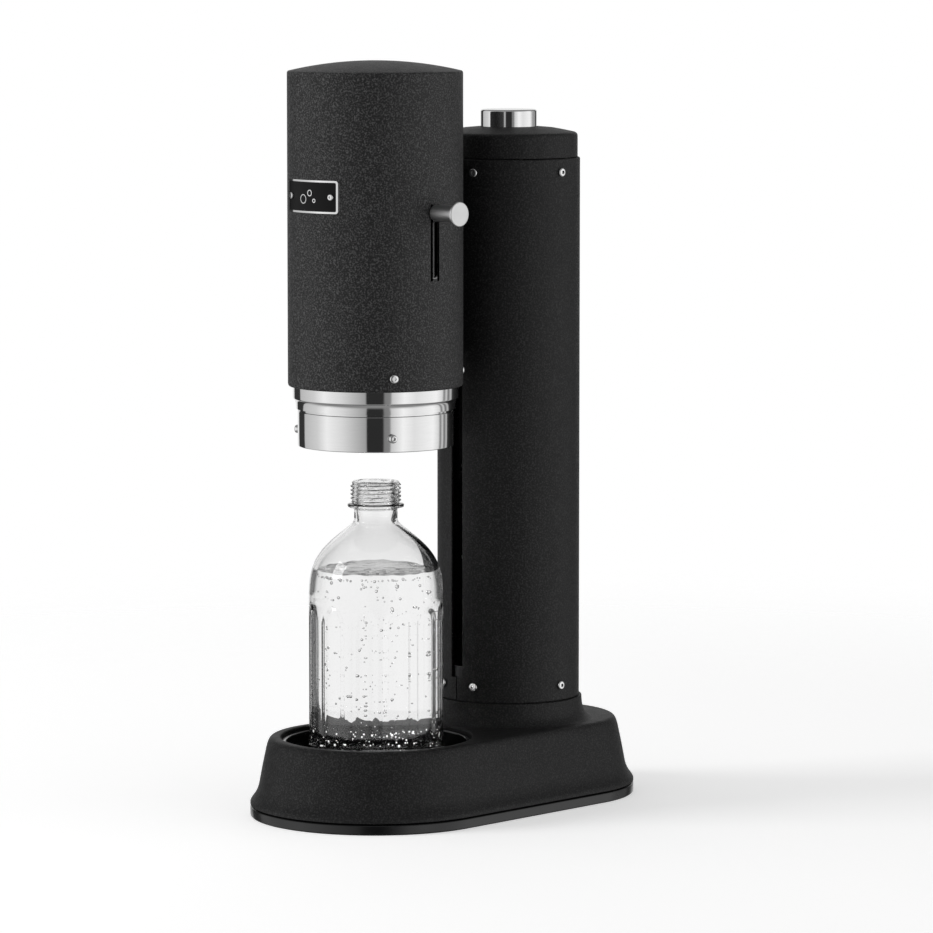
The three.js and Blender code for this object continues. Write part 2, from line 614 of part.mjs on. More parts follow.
function headShell() {
  const dome = (t) => [HEAD_R * Math.sin(t) * 0.985, HEAD_CREASE_Z + 1 + (DOME_RISE - 1) * Math.cos(t)];
  const lid = (t) => [HEAD_IN * Math.sin(t) * 0.985, HEAD_CREASE_Z - 0.6 + (DOME_RISE - 1) * Math.cos(t)];
  const bends = [0.5, 0.32, 0.15].map((share) => Math.PI * share);
  const shell = turned([
    [HEAD_IN, HEAD_FOOT_Z], [HEAD_R - 0.8, HEAD_FOOT_Z], [HEAD_R, HEAD_FOOT_Z + 0.9], [HEAD_R, HEAD_CREASE_Z],
    ...bends.map(dome), [0, HEAD_TOP_Z], [0, HEAD_TOP_Z - 1.6],
    ...bends.slice(1).reverse().map(lid), [HEAD_IN, HEAD_CREASE_Z - 0.6], [HEAD_IN, HEAD_FOOT_Z],
  ]);
  const leverLow = LEVER_Z - LEVER_TRAVEL - LEVER_NECK_R - 0.5;
  const leverSlot = box([HEAD_IN - 3, HEAD_R + 3], [-3.4, 3.4], [leverLow, LEVER_Z + 3.4]);
  const gapZ = [HEAD_FOOT_Z - 5, ARM_TOP + 14];
  const backGap = box([-NECK_GAP_HALF, NECK_GAP_HALF], [HEAD_IN - 6, HEAD_R + 3], gapZ);
  const holes = SHELL_SCREW_ANGLES.map((angle) => drill(angle, SHELL_SCREWS_Z, [HEAD_IN - 2, HEAD_R + 2]));
  const neckHoles = NECK_SCREW_ANGLES.map((angle) => drill(angle, NECK_SCREWS_Z, [HEAD_IN - 2, HEAD_R + 2]));
  const plateHoles = [-1, 1].map((side) => {
    return drill(side * PLATE_SCREW_ANGLE, (PLATE_Z[0] + PLATE_Z[1]) / 2, [HEAD_IN - 2, HEAD_R + 2], 0, 1.1);
  });
  return cut(shell, leverSlot, backGap, ...holes, ...neckHoles, ...plateHoles);
}

function headCollar() {
  const foot = HEAD_FOOT_Z - COLLAR_HEIGHT;
  const [inner, outer, spigot] = [SHIELD_OUT + 0.9, HEAD_R - 2.95, HEAD_IN - 0.35];
  const body = turned([
    [inner, foot + 0.6], [inner + 0.6, foot], [outer - 0.9, foot], [outer - 0.2, foot + 0.6],
    [outer, foot + 1.5], [outer, HEAD_FOOT_Z - GAP], [spigot, HEAD_FOOT_Z + GAP],
    [spigot, HEAD_FOOT_Z + 16.4], [spigot - 3, HEAD_FOOT_Z + 16.4],
    [spigot - 3, HEAD_FOOT_Z + 1], [inner, HEAD_FOOT_Z + 0.5],
    [inner, foot + 0.6],
  ]);
  const gate = box([-SLOT_HALF, SLOT_HALF], [SHIELD_OUT - 2, HEAD_R + 2], [foot - 2, HEAD_FOOT_Z + 20]);
  const holes = SHELL_SCREW_ANGLES.map((angle) => drill(angle, SHELL_SCREWS_Z, [spigot - 5, spigot + 2]));
  return cut(body, gate, ...holes);
}

// Two side cheeks between head and column, with flanges behind the shell and a tongue to the chassis.
function neckBracket() {
  const cheekY = [HEAD_R + 0.45, COLUMN_FRONT - 0.25];
  const flangeR = [HEAD_IN - 2.6, HEAD_IN - 0.35];
  const lower = [NECK_FOOT_Z, LEVER_ARM_Z[0] - LEVER_TRAVEL - 5];
  const upper = [LEVER_ARM_Z[1] + 3, COLUMN_TOP_Z - 3];
  const flangeFoot = THREE.MathUtils.radToDeg(Math.asin(NECK_PLATE[0] / flangeR[0]));
  const pieces = [];
  for (const side of [-1, 1]) {
    const x = [NECK_PLATE[0] * side, NECK_PLATE[1] * side].sort((a, b) => a - b);
    pieces.push(box(x, cheekY, [NECK_FOOT_Z, upper[1]]));
    for (const z of [lower, upper]) {
      pieces.push(box(x, [flangeR[0] - 0.2, cheekY[0] + 1], z));
      const angles = [180 - 25 * side, 180 - flangeFoot * side].sort((a, b) => a - b);
      pieces.push(strip(flangeR, angles, z, 4));
    }
  }
  const tongueZ = [ARM_TOP + 1.7, upper[1] - 0.3];
  pieces.push(box([-NECK_PLATE[1], NECK_PLATE[1]], cheekY, tongueZ));
  pieces.push(box([-SLOT_HALF + 0.4, SLOT_HALF - 0.4], [cheekY[0], CHASSIS_Y[0] - GAP], tongueZ));
  const reach = [flangeR[0] - 2, flangeR[1] + 1];
  const holes = NECK_SCREW_ANGLES.map((angle) => drill(angle, NECK_SCREWS_Z, reach));
  return cut(join(...pieces), ...holes);
}

function nameplate() {
  const radius = HEAD_R + GAP;
  const half = radius * Math.sin(PLATE_ANGLE);
  const [low, high] = PLATE_Z;
  const corner = 2.2;
  const outline = [];
  for (const [x, z, turn] of [[half, low, 3], [half, high, 0], [-half, high, 1], [-half, low, 2]]) {
    for (let i = 0; i <= 3; i += 1) {
      const angle = (turn + i / 3) * Math.PI / 2;
      const centre = [x - corner * Math.sign(x), z + (z === low ? corner : -corner)];
      outline.push([centre[0] + corner * Math.cos(angle), centre[1] + corner * Math.sin(angle)]);
    }
  }
  const block = extruded(outline, 0, HEAD_R + 10).rotateX(Math.PI / 2);
  const skin = strip([radius, radius + PLATE_THICK], [-30, 30], [low - 2, high + 2], 20);
  const holes = [-1, 1].map((side) => {
    return drill(side * PLATE_SCREW_ANGLE, (low + high) / 2, [radius - 2, radius + 3], 0, 1.1);
  });
  return cut(overlap(skin, block), ...holes);
}

function plateScrew() {
  const head = turned([[0, -3], [0.8, -3], [0.8, 0], [1.9, 0], [1.7, 0.8], [1, 1.2], [0, 1.2]], 8);
  return cut(head, box([-2.5, 2.5], [-0.25, 0.25], [0.7, 2]));
}

function placeHead() {
  place('head_shell', headShell(), 'powder_coat');
  place('head_collar', headCollar(), 'polished_steel');
  place('neck_bracket', neckBracket(), 'gloss_black');
  place('nameplate', nameplate(), 'gloss_black');
  SHELL_SCREW_ANGLES.forEach((angle, i) => {
    placeScrew(`shell_screw_${i + 1}`, angle, SHELL_SCREWS_Z, HEAD_R, 4);
  });
  NECK_SCREW_ANGLES.forEach((angle, i) => {
    placeScrew(`neck_screw_${i + 1}`, angle, NECK_SCREWS_Z, HEAD_R, 3.6);
  });
  [-1, 1].forEach((side, i) => {
    const mesh = place(`nameplate_screw_${i + 1}`, plateScrew(), 'polished_steel');
    const [x, y] = around(HEAD_R + 2 * GAP + PLATE_THICK, side * PLATE_SCREW_ANGLE);
    mesh.position.set(x, y, (PLATE_Z[0] + PLATE_Z[1]) / 2);
    mesh.rotation.set(Math.PI / 2, 0, THREE.MathUtils.degToRad(side * PLATE_SCREW_ANGLE), 'ZYX');
  });
}

// ---------------------------------------------------------------- shield

const CARRIAGE_Z = [SEAL_Z + 2.2, SEAL_Z + 5.2];
const NOZZLE_STEM_R = BOTTLE_BORE_R - 1.3;

function shieldTube() {
  const tube = ring(SHIELD_IN, SHIELD_OUT, HEM_Z + 1.3, SHIELD_TOP);
  const reach = [SHIELD_IN - 2, SHIELD_OUT + 2];
  return cut(tube, ...HEM_SCREW_ANGLES.map((angle) => drill(angle, HEM_SCREWS_Z, reach)));
}

function shieldHem() {
  const body = turned([
    [SHIELD_IN, HEM_Z], [HEM_R - 0.4, HEM_Z], [HEM_R, HEM_Z + 0.4], [HEM_R, HEM_Z + HEM_HEIGHT - 0.5],
    [HEM_R - 0.4, HEM_Z + HEM_HEIGHT], [SHIELD_OUT + GAP, HEM_Z + HEM_HEIGHT], [SHIELD_OUT + GAP, HEM_Z + 1],
    [SHIELD_IN, HEM_Z + 1], [SHIELD_IN, HEM_Z],
  ]);
  const reach = [SHIELD_OUT - 1, HEM_R + 2];
  return cut(body, ...HEM_SCREW_ANGLES.map((angle) => drill(angle, HEM_SCREWS_Z, reach)));
}

function nozzleBlock() {
  return turned([
    [0, SEAL_Z - 5.5], [NOZZLE_STEM_R, SEAL_Z - 5.5], [NOZZLE_STEM_R, CARRIAGE_Z[1] + GAP],
    [15, CARRIAGE_Z[1] + GAP], [15, CARRIAGE_Z[1] + 12], [10, CARRIAGE_Z[1] + 15], [0, CARRIAGE_Z[1] + 15],
  ], 24);
}

const STRAP_R = [COLUMN_IN - 4.3, COLUMN_IN - 0.8];
const RACK_X = [-GEAR_R - TOOTH_ROOT - RACK_BACK, -GEAR_R - TOOTH_ROOT];

// From the back of the shield, through the slot, then round inside the column wall to the rack.
function shieldArm() {
  const reach = box(ARM_LEFT, [SHIELD_OUT + 0.4, COLUMN_Y - STRAP_R[0] - 0.2], ARM_Z);
  const strapEnd = -THREE.MathUtils.radToDeg(Math.asin((-RACK_X[0]) / (STRAP_R[1] - 0.6)));
  const start = THREE.MathUtils.radToDeg(Math.asin(ARM_LEFT[1] / STRAP_R[1]));
  const strap = strip(STRAP_R, [strapEnd, start], ARM_Z, 8, COLUMN_Y);
  const [, endY] = around(STRAP_R[0], strapEnd, COLUMN_Y);
  const pad = box([RACK_X[0], RACK_X[1] - 0.2], [endY - 2, GEAR_Y[0] - GAP], ARM_Z);
  return join(reach, strap, pad);
}

// Teeth of a straight rack: the outline of its toothed edge going up, for teeth facing +X.
function rackOutline(pitchX, low, high) {
  const pitch = Math.PI * MODULE;
  const [tip, root] = [pitchX + TOOTH_TIP, pitchX - TOOTH_ROOT];
  const half = pitch / 4 - BACKLASH / 4;
  const lean = Math.tan(PRESSURE_ANGLE);
  const outline = [[root - RACK_BACK, low], [root, low]];
  const first = Math.ceil((low - GEAR_Z) / pitch + 0.1);
  const last = Math.floor((high - GEAR_Z) / pitch - 1.1);
  for (let i = first; i <= last; i += 1) {
    const z = GEAR_Z + (i + 0.5) * pitch;
    const rootHalf = half + TOOTH_ROOT * lean;
    const tipHalf = half - TOOTH_TIP * lean;
    outline.push([root, z - rootHalf], [tip, z - tipHalf], [tip, z + tipHalf], [root, z + rootHalf]);
  }
  outline.push([root, high], [root - RACK_BACK, high]);
  return outline;
}

// Stands an outline drawn in X and Z up between two depths along Y.
function upright(outline, y) {
  const geometry = extruded(outline, 0, y[1] - y[0]);
  return geometry.rotateX(Math.PI / 2).translate(0, y[1], 0);
}

function placeShield() {
  place('shield_tube', shieldTube(), 'polished_steel');
  place('shield_hem', shieldHem(), 'polished_steel');
  place('carriage_plate', ring(NOZZLE_STEM_R + GAP, SHIELD_IN - GAP, ...CARRIAGE_Z), 'nylon');
  place('nozzle_block', nozzleBlock(), 'gloss_black');
  const seal = ring(NOZZLE_STEM_R + GAP, BOTTLE_NECK_R + 4, SEAL_Z, SEAL_Z + 1.9, ROUND_MID);
  place('mouth_seal', seal, 'seal_rubber');
  place('gas_lance', rod(2.2, MOUTH_Z + 30, SEAL_Z - 5.8, 12), 'polished_steel');
  place('shield_arm', shieldArm(), 'brushed_steel');
  place('shield_rack', upright(rackOutline(-GEAR_R, GEAR_Z - RACK_SPARE, RACK_TOP), GEAR_Y), 'nylon');
  HEM_SCREW_ANGLES.forEach((angle, i) => {
    placeScrew(`hem_screw_${i + 1}`, angle, HEM_SCREWS_Z, HEM_R, 2.4, 0, HEM_SCREW_PROUD - GAP);
  });
}

// ---------------------------------------------------------------- lever

function leverKnob() {
  const x0 = SLIDER_R[1] + GAP;
  const shank = HEAD_R + 0.4;
  const disc = shank + LEVER_LENGTH;
  const profile = [
    [0, x0], [LEVER_NECK_R, x0], [LEVER_NECK_R, shank], [LEVER_R, shank], [LEVER_R, disc - 0.8],
    [LEVER_R - 0.7, disc - 0.8], [LEVER_R - 0.7, disc],
    [LEVER_DISC_R - 0.3, disc], [LEVER_DISC_R, disc + 0.3],
    [LEVER_DISC_R, disc + 2.4], [LEVER_DISC_R - 0.4, disc + 2.8], [0, disc + 2.8],
  ];
  return turned(profile, 20).rotateY(Math.PI / 2);
}

// A curved plate from the lever round to the back of the head, then an arm into the column.
function leverSlider() {
  const back = 180 - THREE.MathUtils.radToDeg(Math.asin(ARM_RIGHT[0] / SLIDER_R[0]));
  const plate = strip(SLIDER_R, [86, back], LEVER_ARM_Z, 16);
  const reach = box(ARM_RIGHT, [SLIDER_R[0] + 0.4, PINION_Y[1] - 1], LEVER_ARM_Z);
  const barX = [-PINION_R - TOOTH_ROOT - RACK_BACK, ARM_RIGHT[1]];
  const across = box(barX, [PINION_Y[0] - 1, PINION_Y[1] - 1], LEVER_ARM_Z);
  return join(plate, reach, across);
}

function leverRack() {
  const low = GEAR_Z - RACK_SPARE + 1;
  const outline = rackOutline(-PINION_R, low, GEAR_Z + LEVER_TRAVEL + RACK_SPARE);
  const top = outline[outline.length - 1];
  const bar = [[top[0], top[1] - 1], [top[0] + RACK_BACK, top[1] - 1],
    [top[0] + RACK_BACK, LEVER_ARM_Z[0] - GAP], [top[0], LEVER_ARM_Z[0] - GAP]];
  const depth = [PINION_Y[0], PINION_Y[1] - 1];
  return join(upright(outline, depth), upright(bar, depth));
}

function placeLever() {
  place('lever_knob', leverKnob(), 'brushed_steel', [0, 0, LEVER_Z]);
  place('lever_slider', leverSlider(), 'brushed_steel');
  place('lever_rack', leverRack(), 'nylon');
}

// ---------------------------------------------------------------- gears

// The outline of an involute spur gear with one tooth centred on -X.
function gearOutline(teeth, steps) {
  const pitchR = MODULE * teeth / 2;
  const [tipR, rootR] = [pitchR + TOOTH_TIP, pitchR - TOOTH_ROOT];
  const baseR = pitchR * Math.cos(PRESSURE_ANGLE);
  const involute = (angle) => Math.tan(angle) - angle;
  const halfAtPitch = Math.PI / (2 * teeth) - BACKLASH / 4 / pitchR;
  const halfAt = (radius) => {
    const angle = Math.acos(Math.min(1, baseR / radius));
    return halfAtPitch + involute(PRESSURE_ANGLE) - involute(angle);
  };
  const startR = Math.max(rootR, baseR);
  const flank = [];
  for (let i = 0; i <= steps; i += 1) {
    const radius = startR + (tipR - startR) * i / steps;
    flank.push([radius, halfAt(radius)]);
  }
  if (startR > rootR) flank.unshift([rootR, halfAt(startR)]);
  const outline = [];
  for (let tooth = 0; tooth < teeth; tooth += 1) {
    const middle = Math.PI + 2 * Math.PI * tooth / teeth;
    for (const [radius, half] of flank) outline.push([radius, middle - half]);
    for (const [radius, half] of [...flank].reverse()) outline.push([radius, middle + half]);
  }
  return outline.map(([radius, angle]) => [radius * Math.cos(angle), radius * Math.sin(angle)]);
}

function spurGear(teeth, y, steps, windows = []) {
  const holes = [circle(0, 0, AXLE_R + GAP, ROUND_SMALL), ...windows];
  const gear = extruded(gearOutline(teeth, steps), 0, y[1] - y[0], holes);
  return gear.rotateX(Math.PI / 2).translate(0, y[1], 0);
}

function placeGears() {
  const windows = [0, 1, 2, 3, 4].map((i) => {
    const angle = 2 * Math.PI * i / 5;
    return circle(GEAR_R * 0.6 * Math.cos(angle), GEAR_R * 0.6 * Math.sin(angle), GEAR_R * 0.21, 12);
  });
  place('drive_gear', spurGear(GEAR_TEETH, GEAR_Y, 1, windows), 'nylon', [0, 0, GEAR_Z]);
  const pinion = spurGear(PINION_TEETH, [PINION_Y[0], GEAR_Y[0] - GAP], 3);
  place('drive_pinion', pinion, 'brushed_steel', [0, 0, GEAR_Z]);
  const axle = turned([
    [0, PINION_Y[0] - 2.2], [3, PINION_Y[0] - 2.2], [3, PINION_Y[0] - 0.4], [AXLE_R, PINION_Y[0] - 0.4],
    [AXLE_R, CHASSIS_Y[1]], [0, CHASSIS_Y[1]],
  ], ROUND_SMALL).rotateX(-Math.PI / 2);
  place('gear_axle', axle, 'brushed_steel', [0, 0, GEAR_Z]);
}

placeBase();
place('bottle', bottle(), 'glass');
placeColumn();
placeButton();
placeHead();
placeShield();
placeLever();
placeGears();

const carbonator = new THREE.Group();
carbonator.add(machine);

export default carbonator;
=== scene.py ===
"""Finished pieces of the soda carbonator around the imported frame, and the studio that shows it."""

import json
import math
import random

import bpy
from mathutils import Matrix, Vector


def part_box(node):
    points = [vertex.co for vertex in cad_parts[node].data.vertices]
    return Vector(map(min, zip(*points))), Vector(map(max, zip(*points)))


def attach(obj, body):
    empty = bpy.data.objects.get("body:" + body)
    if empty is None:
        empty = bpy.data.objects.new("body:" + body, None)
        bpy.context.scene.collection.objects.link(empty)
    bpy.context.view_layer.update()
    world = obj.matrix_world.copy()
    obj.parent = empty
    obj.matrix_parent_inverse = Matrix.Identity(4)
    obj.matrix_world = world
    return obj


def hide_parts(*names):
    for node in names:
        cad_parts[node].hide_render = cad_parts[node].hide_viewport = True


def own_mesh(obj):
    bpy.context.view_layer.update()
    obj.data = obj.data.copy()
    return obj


bl_info = {
    "name": "Soda Carbonator",
    "version": (1, 0, 0),
    "blender": (4, 5, 0),
    "location": "3D View > Sidebar > Carbonator",
    "description": "Builds the finished pieces of a soda carbonator, and the studio around it",
    "category": "Add Mesh",
}

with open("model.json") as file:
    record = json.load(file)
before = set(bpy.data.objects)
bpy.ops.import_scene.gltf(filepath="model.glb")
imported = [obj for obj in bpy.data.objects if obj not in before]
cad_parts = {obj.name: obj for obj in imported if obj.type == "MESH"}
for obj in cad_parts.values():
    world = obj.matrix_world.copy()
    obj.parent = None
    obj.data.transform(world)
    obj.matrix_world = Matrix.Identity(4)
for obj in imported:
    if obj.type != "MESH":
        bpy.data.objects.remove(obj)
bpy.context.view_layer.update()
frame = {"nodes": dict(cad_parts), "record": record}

MM = 0.001
TURN = 2 * math.pi


# ------------------------------------------------------------------ places taken from the frame

def low(node):
    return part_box(node)[0]


def high(node):
    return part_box(node)[1]


def levels(node):
    """Height of a node's underside and of its top."""
    return low(node).z, high(node).z


def middle(node):
    return (low(node) + high(node)) / 2


def radius(node):
    """Half the width of a round upright node."""
    return (high(node).x - low(node).x) / 2


def from_axis(place):
    """Distance from the upright axis that head, shield and bottle share."""
    return math.hypot(place.x, place.y - HEAD_Y)


HEAD_Y = middle("head_shell").y
COLUMN_Y = middle("column_shell").y
DECK = 49.3 * MM            # flat top of the base
RACK_GAP = 4.95 * MM        # half width of the slits that the shield's arm passes
NECK_GAP = 7.9 * MM         # half width of the opening at the head's back
NECK_GAP_TOP = 406 * MM
SLOT_FOOT = 337.8 * MM      # lower end of the lever's slot
BOTTLE_WALL = 3 * MM
BOTTLE_NECK = 13.5 * MM     # outer radius of the neck
NEAR = 0.002 * MM           # two corners closer than this are one


# ------------------------------------------------------------------ settings

def length(name, description, millimetres):
    return bpy.props.FloatProperty(
        name=name, description=description, default=millimetres * MM, unit="LENGTH")


def colour(name, description, *channels):
    return bpy.props.FloatVectorProperty(
        name=name, description=description, subtype="COLOR", size=3, default=channels)


class CarbonatorSizes(bpy.types.PropertyGroup):
    shell_wall: length("Shell wall", "Sheet thickness of head and column", 1.3)
    shell_corner: length("Shell corner", "Radius of the head's lower edge", 1.8)
    slot_width: length("Lever slot", "Width of the slot that the lever runs in", 6.8)
    flute_count: bpy.props.IntProperty(
        name="Flutes", description="Arched flutes round the bottle", default=12, min=4)
    flute_depth: length("Flute depth", "How far a flute is pressed into the glass", 0.9)
    thread_pitch: length("Thread pitch", "Rise of the neck's thread in one turn", 2.5)
    water_level: length("Water level", "Height of the water above the worktop", 153)
    bubble_count: bpy.props.IntProperty(
        name="Bubbles", description="Gas bubbles in the water", default=520, min=0)


class CarbonatorFinishes(bpy.types.PropertyGroup):
    coat_colour: colour("Powder coat", "Black of the sand-textured coat", 0.0065, 0.0065, 0.0068)
    coat_fleck: colour("Coat fleck", "Paler grains in the coat", 0.105, 0.105, 0.106)
    coat_grain: length("Coat grain", "Size of the coat's grains", 0.95)
    steel_colour: colour("Steel", "Colour of the stainless steel", 0.80, 0.80, 0.80)
    gloss_colour: colour("Gloss black", "Colour of the glossy black plastic", 0.008, 0.008, 0.0085)


class CarbonatorStudio(bpy.types.PropertyGroup):
    azimuth: bpy.props.FloatProperty(
        name="Camera azimuth", description="Camera's turn to the lever side of the front",
        default=math.radians(46.745), subtype="ANGLE")
    elevation: bpy.props.FloatProperty(
        name="Camera elevation", description="Camera's angle above the level",
        default=math.radians(6.051), subtype="ANGLE")
    distance: length("Camera distance", "Camera to the point it looks at", 3165.8)
    target: bpy.props.FloatVectorProperty(
        name="Target", description="Point that the camera looks at", size=3, subtype="XYZ", unit="LENGTH",
        default=(0.03857, -0.01871, 0.21795))
    lens: bpy.props.FloatProperty(name="Lens", description="Focal length in millimetres", default=197.0)


def sizes():
    return bpy.context.scene.carbonator_sizes


def finishes():
    return bpy.context.scene.carbonator_finishes


def studio():
    return bpy.context.scene.carbonator_studio


# ------------------------------------------------------------------ modelling by hand, in code

def deselect():
    """Leaves nothing selected, as every primitive needs before it is added."""
    if bpy.context.object and bpy.context.object.mode != "OBJECT":
        done()
    bpy.ops.object.select_all(action="DESELECT")


def only(piece):
    deselect()
    piece.select_set(True)
    bpy.context.view_layer.objects.active = piece


def edit(select="SELECT", kind="VERT"):
    bpy.ops.object.mode_set(mode="EDIT")
    bpy.ops.mesh.select_mode(type=kind)
    bpy.ops.mesh.select_all(action=select)


def done():
    bpy.ops.object.mode_set(mode="OBJECT")


def named(name):
    piece = bpy.context.object
    piece.name = name
    piece.data.name = name
    return piece


def settle(piece):
    """Puts the piece's place, turn and size into its mesh."""
    only(piece)
    bpy.ops.object.transform_apply(location=True, rotation=True, scale=True)
    return piece


def modify(piece, kind, **values):
    """Adds one modifier and applies it."""
    only(piece)
    modifier = piece.modifiers.new(kind.title(), kind)
    for key, value in values.items():
        setattr(modifier, key, value)
    bpy.ops.object.modifier_apply(modifier=modifier.name)
    return piece


def smooth(piece, degrees=35):
    only(piece)
    bpy.ops.object.shade_smooth_by_angle(angle=math.radians(degrees), keep_sharp_edges=False)
    return piece


def cut(piece, cutter, operation="DIFFERENCE"):
    """Cuts a piece with another one, or keeps what lies inside it, and removes the cutter."""
    modify(piece, "BOOLEAN", operation=operation, object=cutter, solver="EXACT")
    bpy.data.objects.remove(cutter)
    return piece


def join(piece, *others):
    only(piece)
    for other in others:
        other.select_set(True)
    bpy.ops.object.join()
    return piece


def face_outward(piece, fill=False):
    """Turns every face to the outside, with open ends closed first where that is asked."""
    only(piece)
    edit()
    if fill:
        bpy.ops.mesh.fill_holes(sides=0)
        bpy.ops.mesh.select_all(action="SELECT")
    bpy.ops.mesh.normals_make_consistent(inside=False)
    done()
    return piece


def pick(piece, test, kind="EDGE"):
    """Selects, in edit mode, the corners, edges or faces of a piece whose places all pass a test."""
    only(piece)
    mesh = piece.data
    edit("DESELECT", kind)
    done()
    passes = [test(vertex.co) for vertex in mesh.vertices]
    for vertex, passed in zip(mesh.vertices, passes):
        vertex.select = passed and kind == "VERT"
    for item in {"VERT": (), "EDGE": mesh.edges, "FACE": mesh.polygons}[kind]:
        item.select = all(passes[index] for index in item.vertices)
    bpy.ops.object.mode_set(mode="EDIT")


def bevel(piece, test, offset, segments):
    """Rounds the edges whose two ends pass a test."""
    pick(piece, test)
    bpy.ops.mesh.bevel(offset=offset, segments=segments, affect="EDGES")
    done()
    return piece


def arc(centre, size, start, end, steps):
    """Points on an arc in the plane of radius and height; angles in degrees from straight out."""
    points = []
    for step in range(steps + 1):
        angle = math.radians(start + (end - start) * step / steps)
        points.append((centre[0] + size * math.cos(angle), centre[1] + size * math.sin(angle)))
    return points


def curve(start, grip, end, steps):
    """Points on a quadratic curve, without its first point."""
    points = []
    for step in range(1, steps + 1):
        t = step / steps
        places = zip(start, grip, end)
        points.append(tuple((1 - t) ** 2 * a + 2 * t * (1 - t) * b + t * t * c for a, b, c in places))
    return points


class Outline(list):
    """A profile of (radius, height) points, each drawn in millimetres from the corner set last."""

    def at(self, size, level):
        self.corner = (size, level)
        return self

    def place(self, step):
        return self.corner[0] + step[0] * MM, self.corner[1] + step[1] * MM

    def to(self, *steps):
        self.extend(self.place(step) for step in steps)
        return self

    def bend(self, grip, end, steps):
        self.extend(curve(self[-1], self.place(grip), self.place(end), steps))
        return self

    def round(self, centre, size, start, end, steps):
        self.extend(arc(self.place(centre), size * MM, start, end, steps))
        return self


def outline(size, level, *steps):
    return Outline().at(size, level).to(*steps)


def turned(name, profile, y=0.0, steps=160, whole=False, angle=TURN, start=0.0):
    """Draws a profile of (radius, height) points from one vertex, then spins it about an upright axis."""
    deselect()
    bpy.ops.mesh.primitive_plane_add(size=0.01, location=(0, 0, 0))
    piece = named(name)
    edit()
    bpy.ops.mesh.merge(type="CENTER")
    turn = Matrix.Rotation(start, 3, "Z")
    points = [turn @ Vector((r, 0, z)) for r, z in profile]
    bpy.ops.transform.translate(value=points[0])
    ring = points + [points[0]] if whole else points
    for before, after in zip(ring, ring[1:]):
        bpy.ops.mesh.extrude_vertices_move(TRANSFORM_OT_translate={"value": after - before})
    bpy.ops.mesh.select_all(action="SELECT")
    bpy.ops.mesh.spin(steps=steps, angle=angle, center=(0, 0, 0), axis=(0, 0, 1))
    bpy.ops.mesh.select_all(action="SELECT")
    bpy.ops.mesh.remove_doubles(threshold=NEAR)
    bpy.ops.mesh.normals_make_consistent(inside=False)
    bpy.ops.transform.translate(value=(0, y, 0))
    done()
    return piece


def block(name, lower, upper):
    """A cube between two corners."""
    deselect()
    centre = [(a + b) / 2 for a, b in zip(lower, upper)]
    bpy.ops.mesh.primitive_cube_add(size=1, location=centre)
    piece = named(name)
    piece.scale = [b - a for a, b in zip(lower, upper)]
    return settle(piece)


def slit(piece, half, near, far, bottom, top):
    """Cuts an upright slit of a half width through the wall between two places along Y."""
    return cut(piece, block("slit_cutter", (-half, near, bottom), (half, far, top)))


def peg(name, size, place, depth, direction="Z", sides=32):
    """A plain cylinder, upright or along X."""
    deselect()
    turns = {"Z": (0, 0, 0), "X": (0, math.pi / 2, 0)}
    bpy.ops.mesh.primitive_cylinder_add(
        vertices=sides, radius=size, depth=depth, location=place, rotation=turns[direction])
    return settle(named(name))


def outward(piece, angle, distance, height, y):
    """Points a piece made along +Z away from an upright axis; the angle runs from front to lever side."""
    piece.rotation_mode = "ZYX"
    piece.matrix_world = (
        Matrix.Translation((distance * math.sin(angle), y - distance * math.cos(angle), height))
        @ Matrix.Rotation(angle, 4, "Z") @ Matrix.Rotation(math.pi / 2, 4, "X"))
    return settle(piece)


def material(name):
    return bpy.data.materials["fine_" + name]


def finish_piece(piece, body, slot, *nodes, finish=None):
    """Gives a finished piece the material of its finish, or else of its slot, hangs it on its body and hides
    the nodes that it stands for.
    """
    piece.data.materials.clear()
    piece.data.materials.append(material(finish or slot))
    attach(piece, body)
    if nodes:
        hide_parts(*nodes)
    return piece


def spun(node, body, slot, profile, steps, degrees=35, whole=True, y=HEAD_Y, finish=None):
    """Turns the finished piece that stands for one node."""
    piece = smooth(turned(node + "_fine", profile, y=y, steps=steps, whole=whole), degrees)
    return finish_piece(piece, body, slot, node, finish=finish)


# ------------------------------------------------------------------ shader nodes

def feed(tree, node, values):
    """Fills a node's inputs: a socket is linked, anything else is set."""
    for key, value in values.items():
        if isinstance(value, bpy.types.NodeSocket):
            tree.links.new(value, node.inputs[key])
        else:
            node.inputs[key].default_value = value
    return node


def add(tree, kind, values=(), **settings):
    node = tree.nodes.new(kind)
    for key, value in settings.items():
        setattr(node, key, value)
    return feed(tree, node, dict(values))


def calc(tree, operation, *operands):
    return add(tree, "ShaderNodeMath", enumerate(operands), operation=operation).outputs[0]


def ranged(tree, value, **limits):
    """A Map Range node; limits are named from_min, from_max, to_min and to_max."""
    values = {key.replace("_", " ").title(): limit for key, limit in limits.items()}
    return add(tree, "ShaderNodeMapRange", {"Value": value, **values}).outputs["Result"]


def smoothed(tree, value, start, end, first=0.0, last=1.0):
    """A soft step between two limits."""
    values = {"Value": value, "From Min": start, "From Max": end, "To Min": first, "To Max": last}
    return add(tree, "ShaderNodeMapRange", values, interpolation_type="SMOOTHSTEP").outputs["Result"]


def mixed(tree, factor, first, second):
    values = {"Factor": factor, "A": first, "B": second}
    return add(tree, "ShaderNodeMix", values, data_type="RGBA").outputs["Result"]


def opaque(channels, strength=1):
    return (*(min(1, channel * strength) for channel in channels), 1)


def bump(tree, height, distance):
    values = {"Strength": 1.0, "Distance": distance, "Height": height}
    return add(tree, "ShaderNodeBump", values).outputs["Normal"]


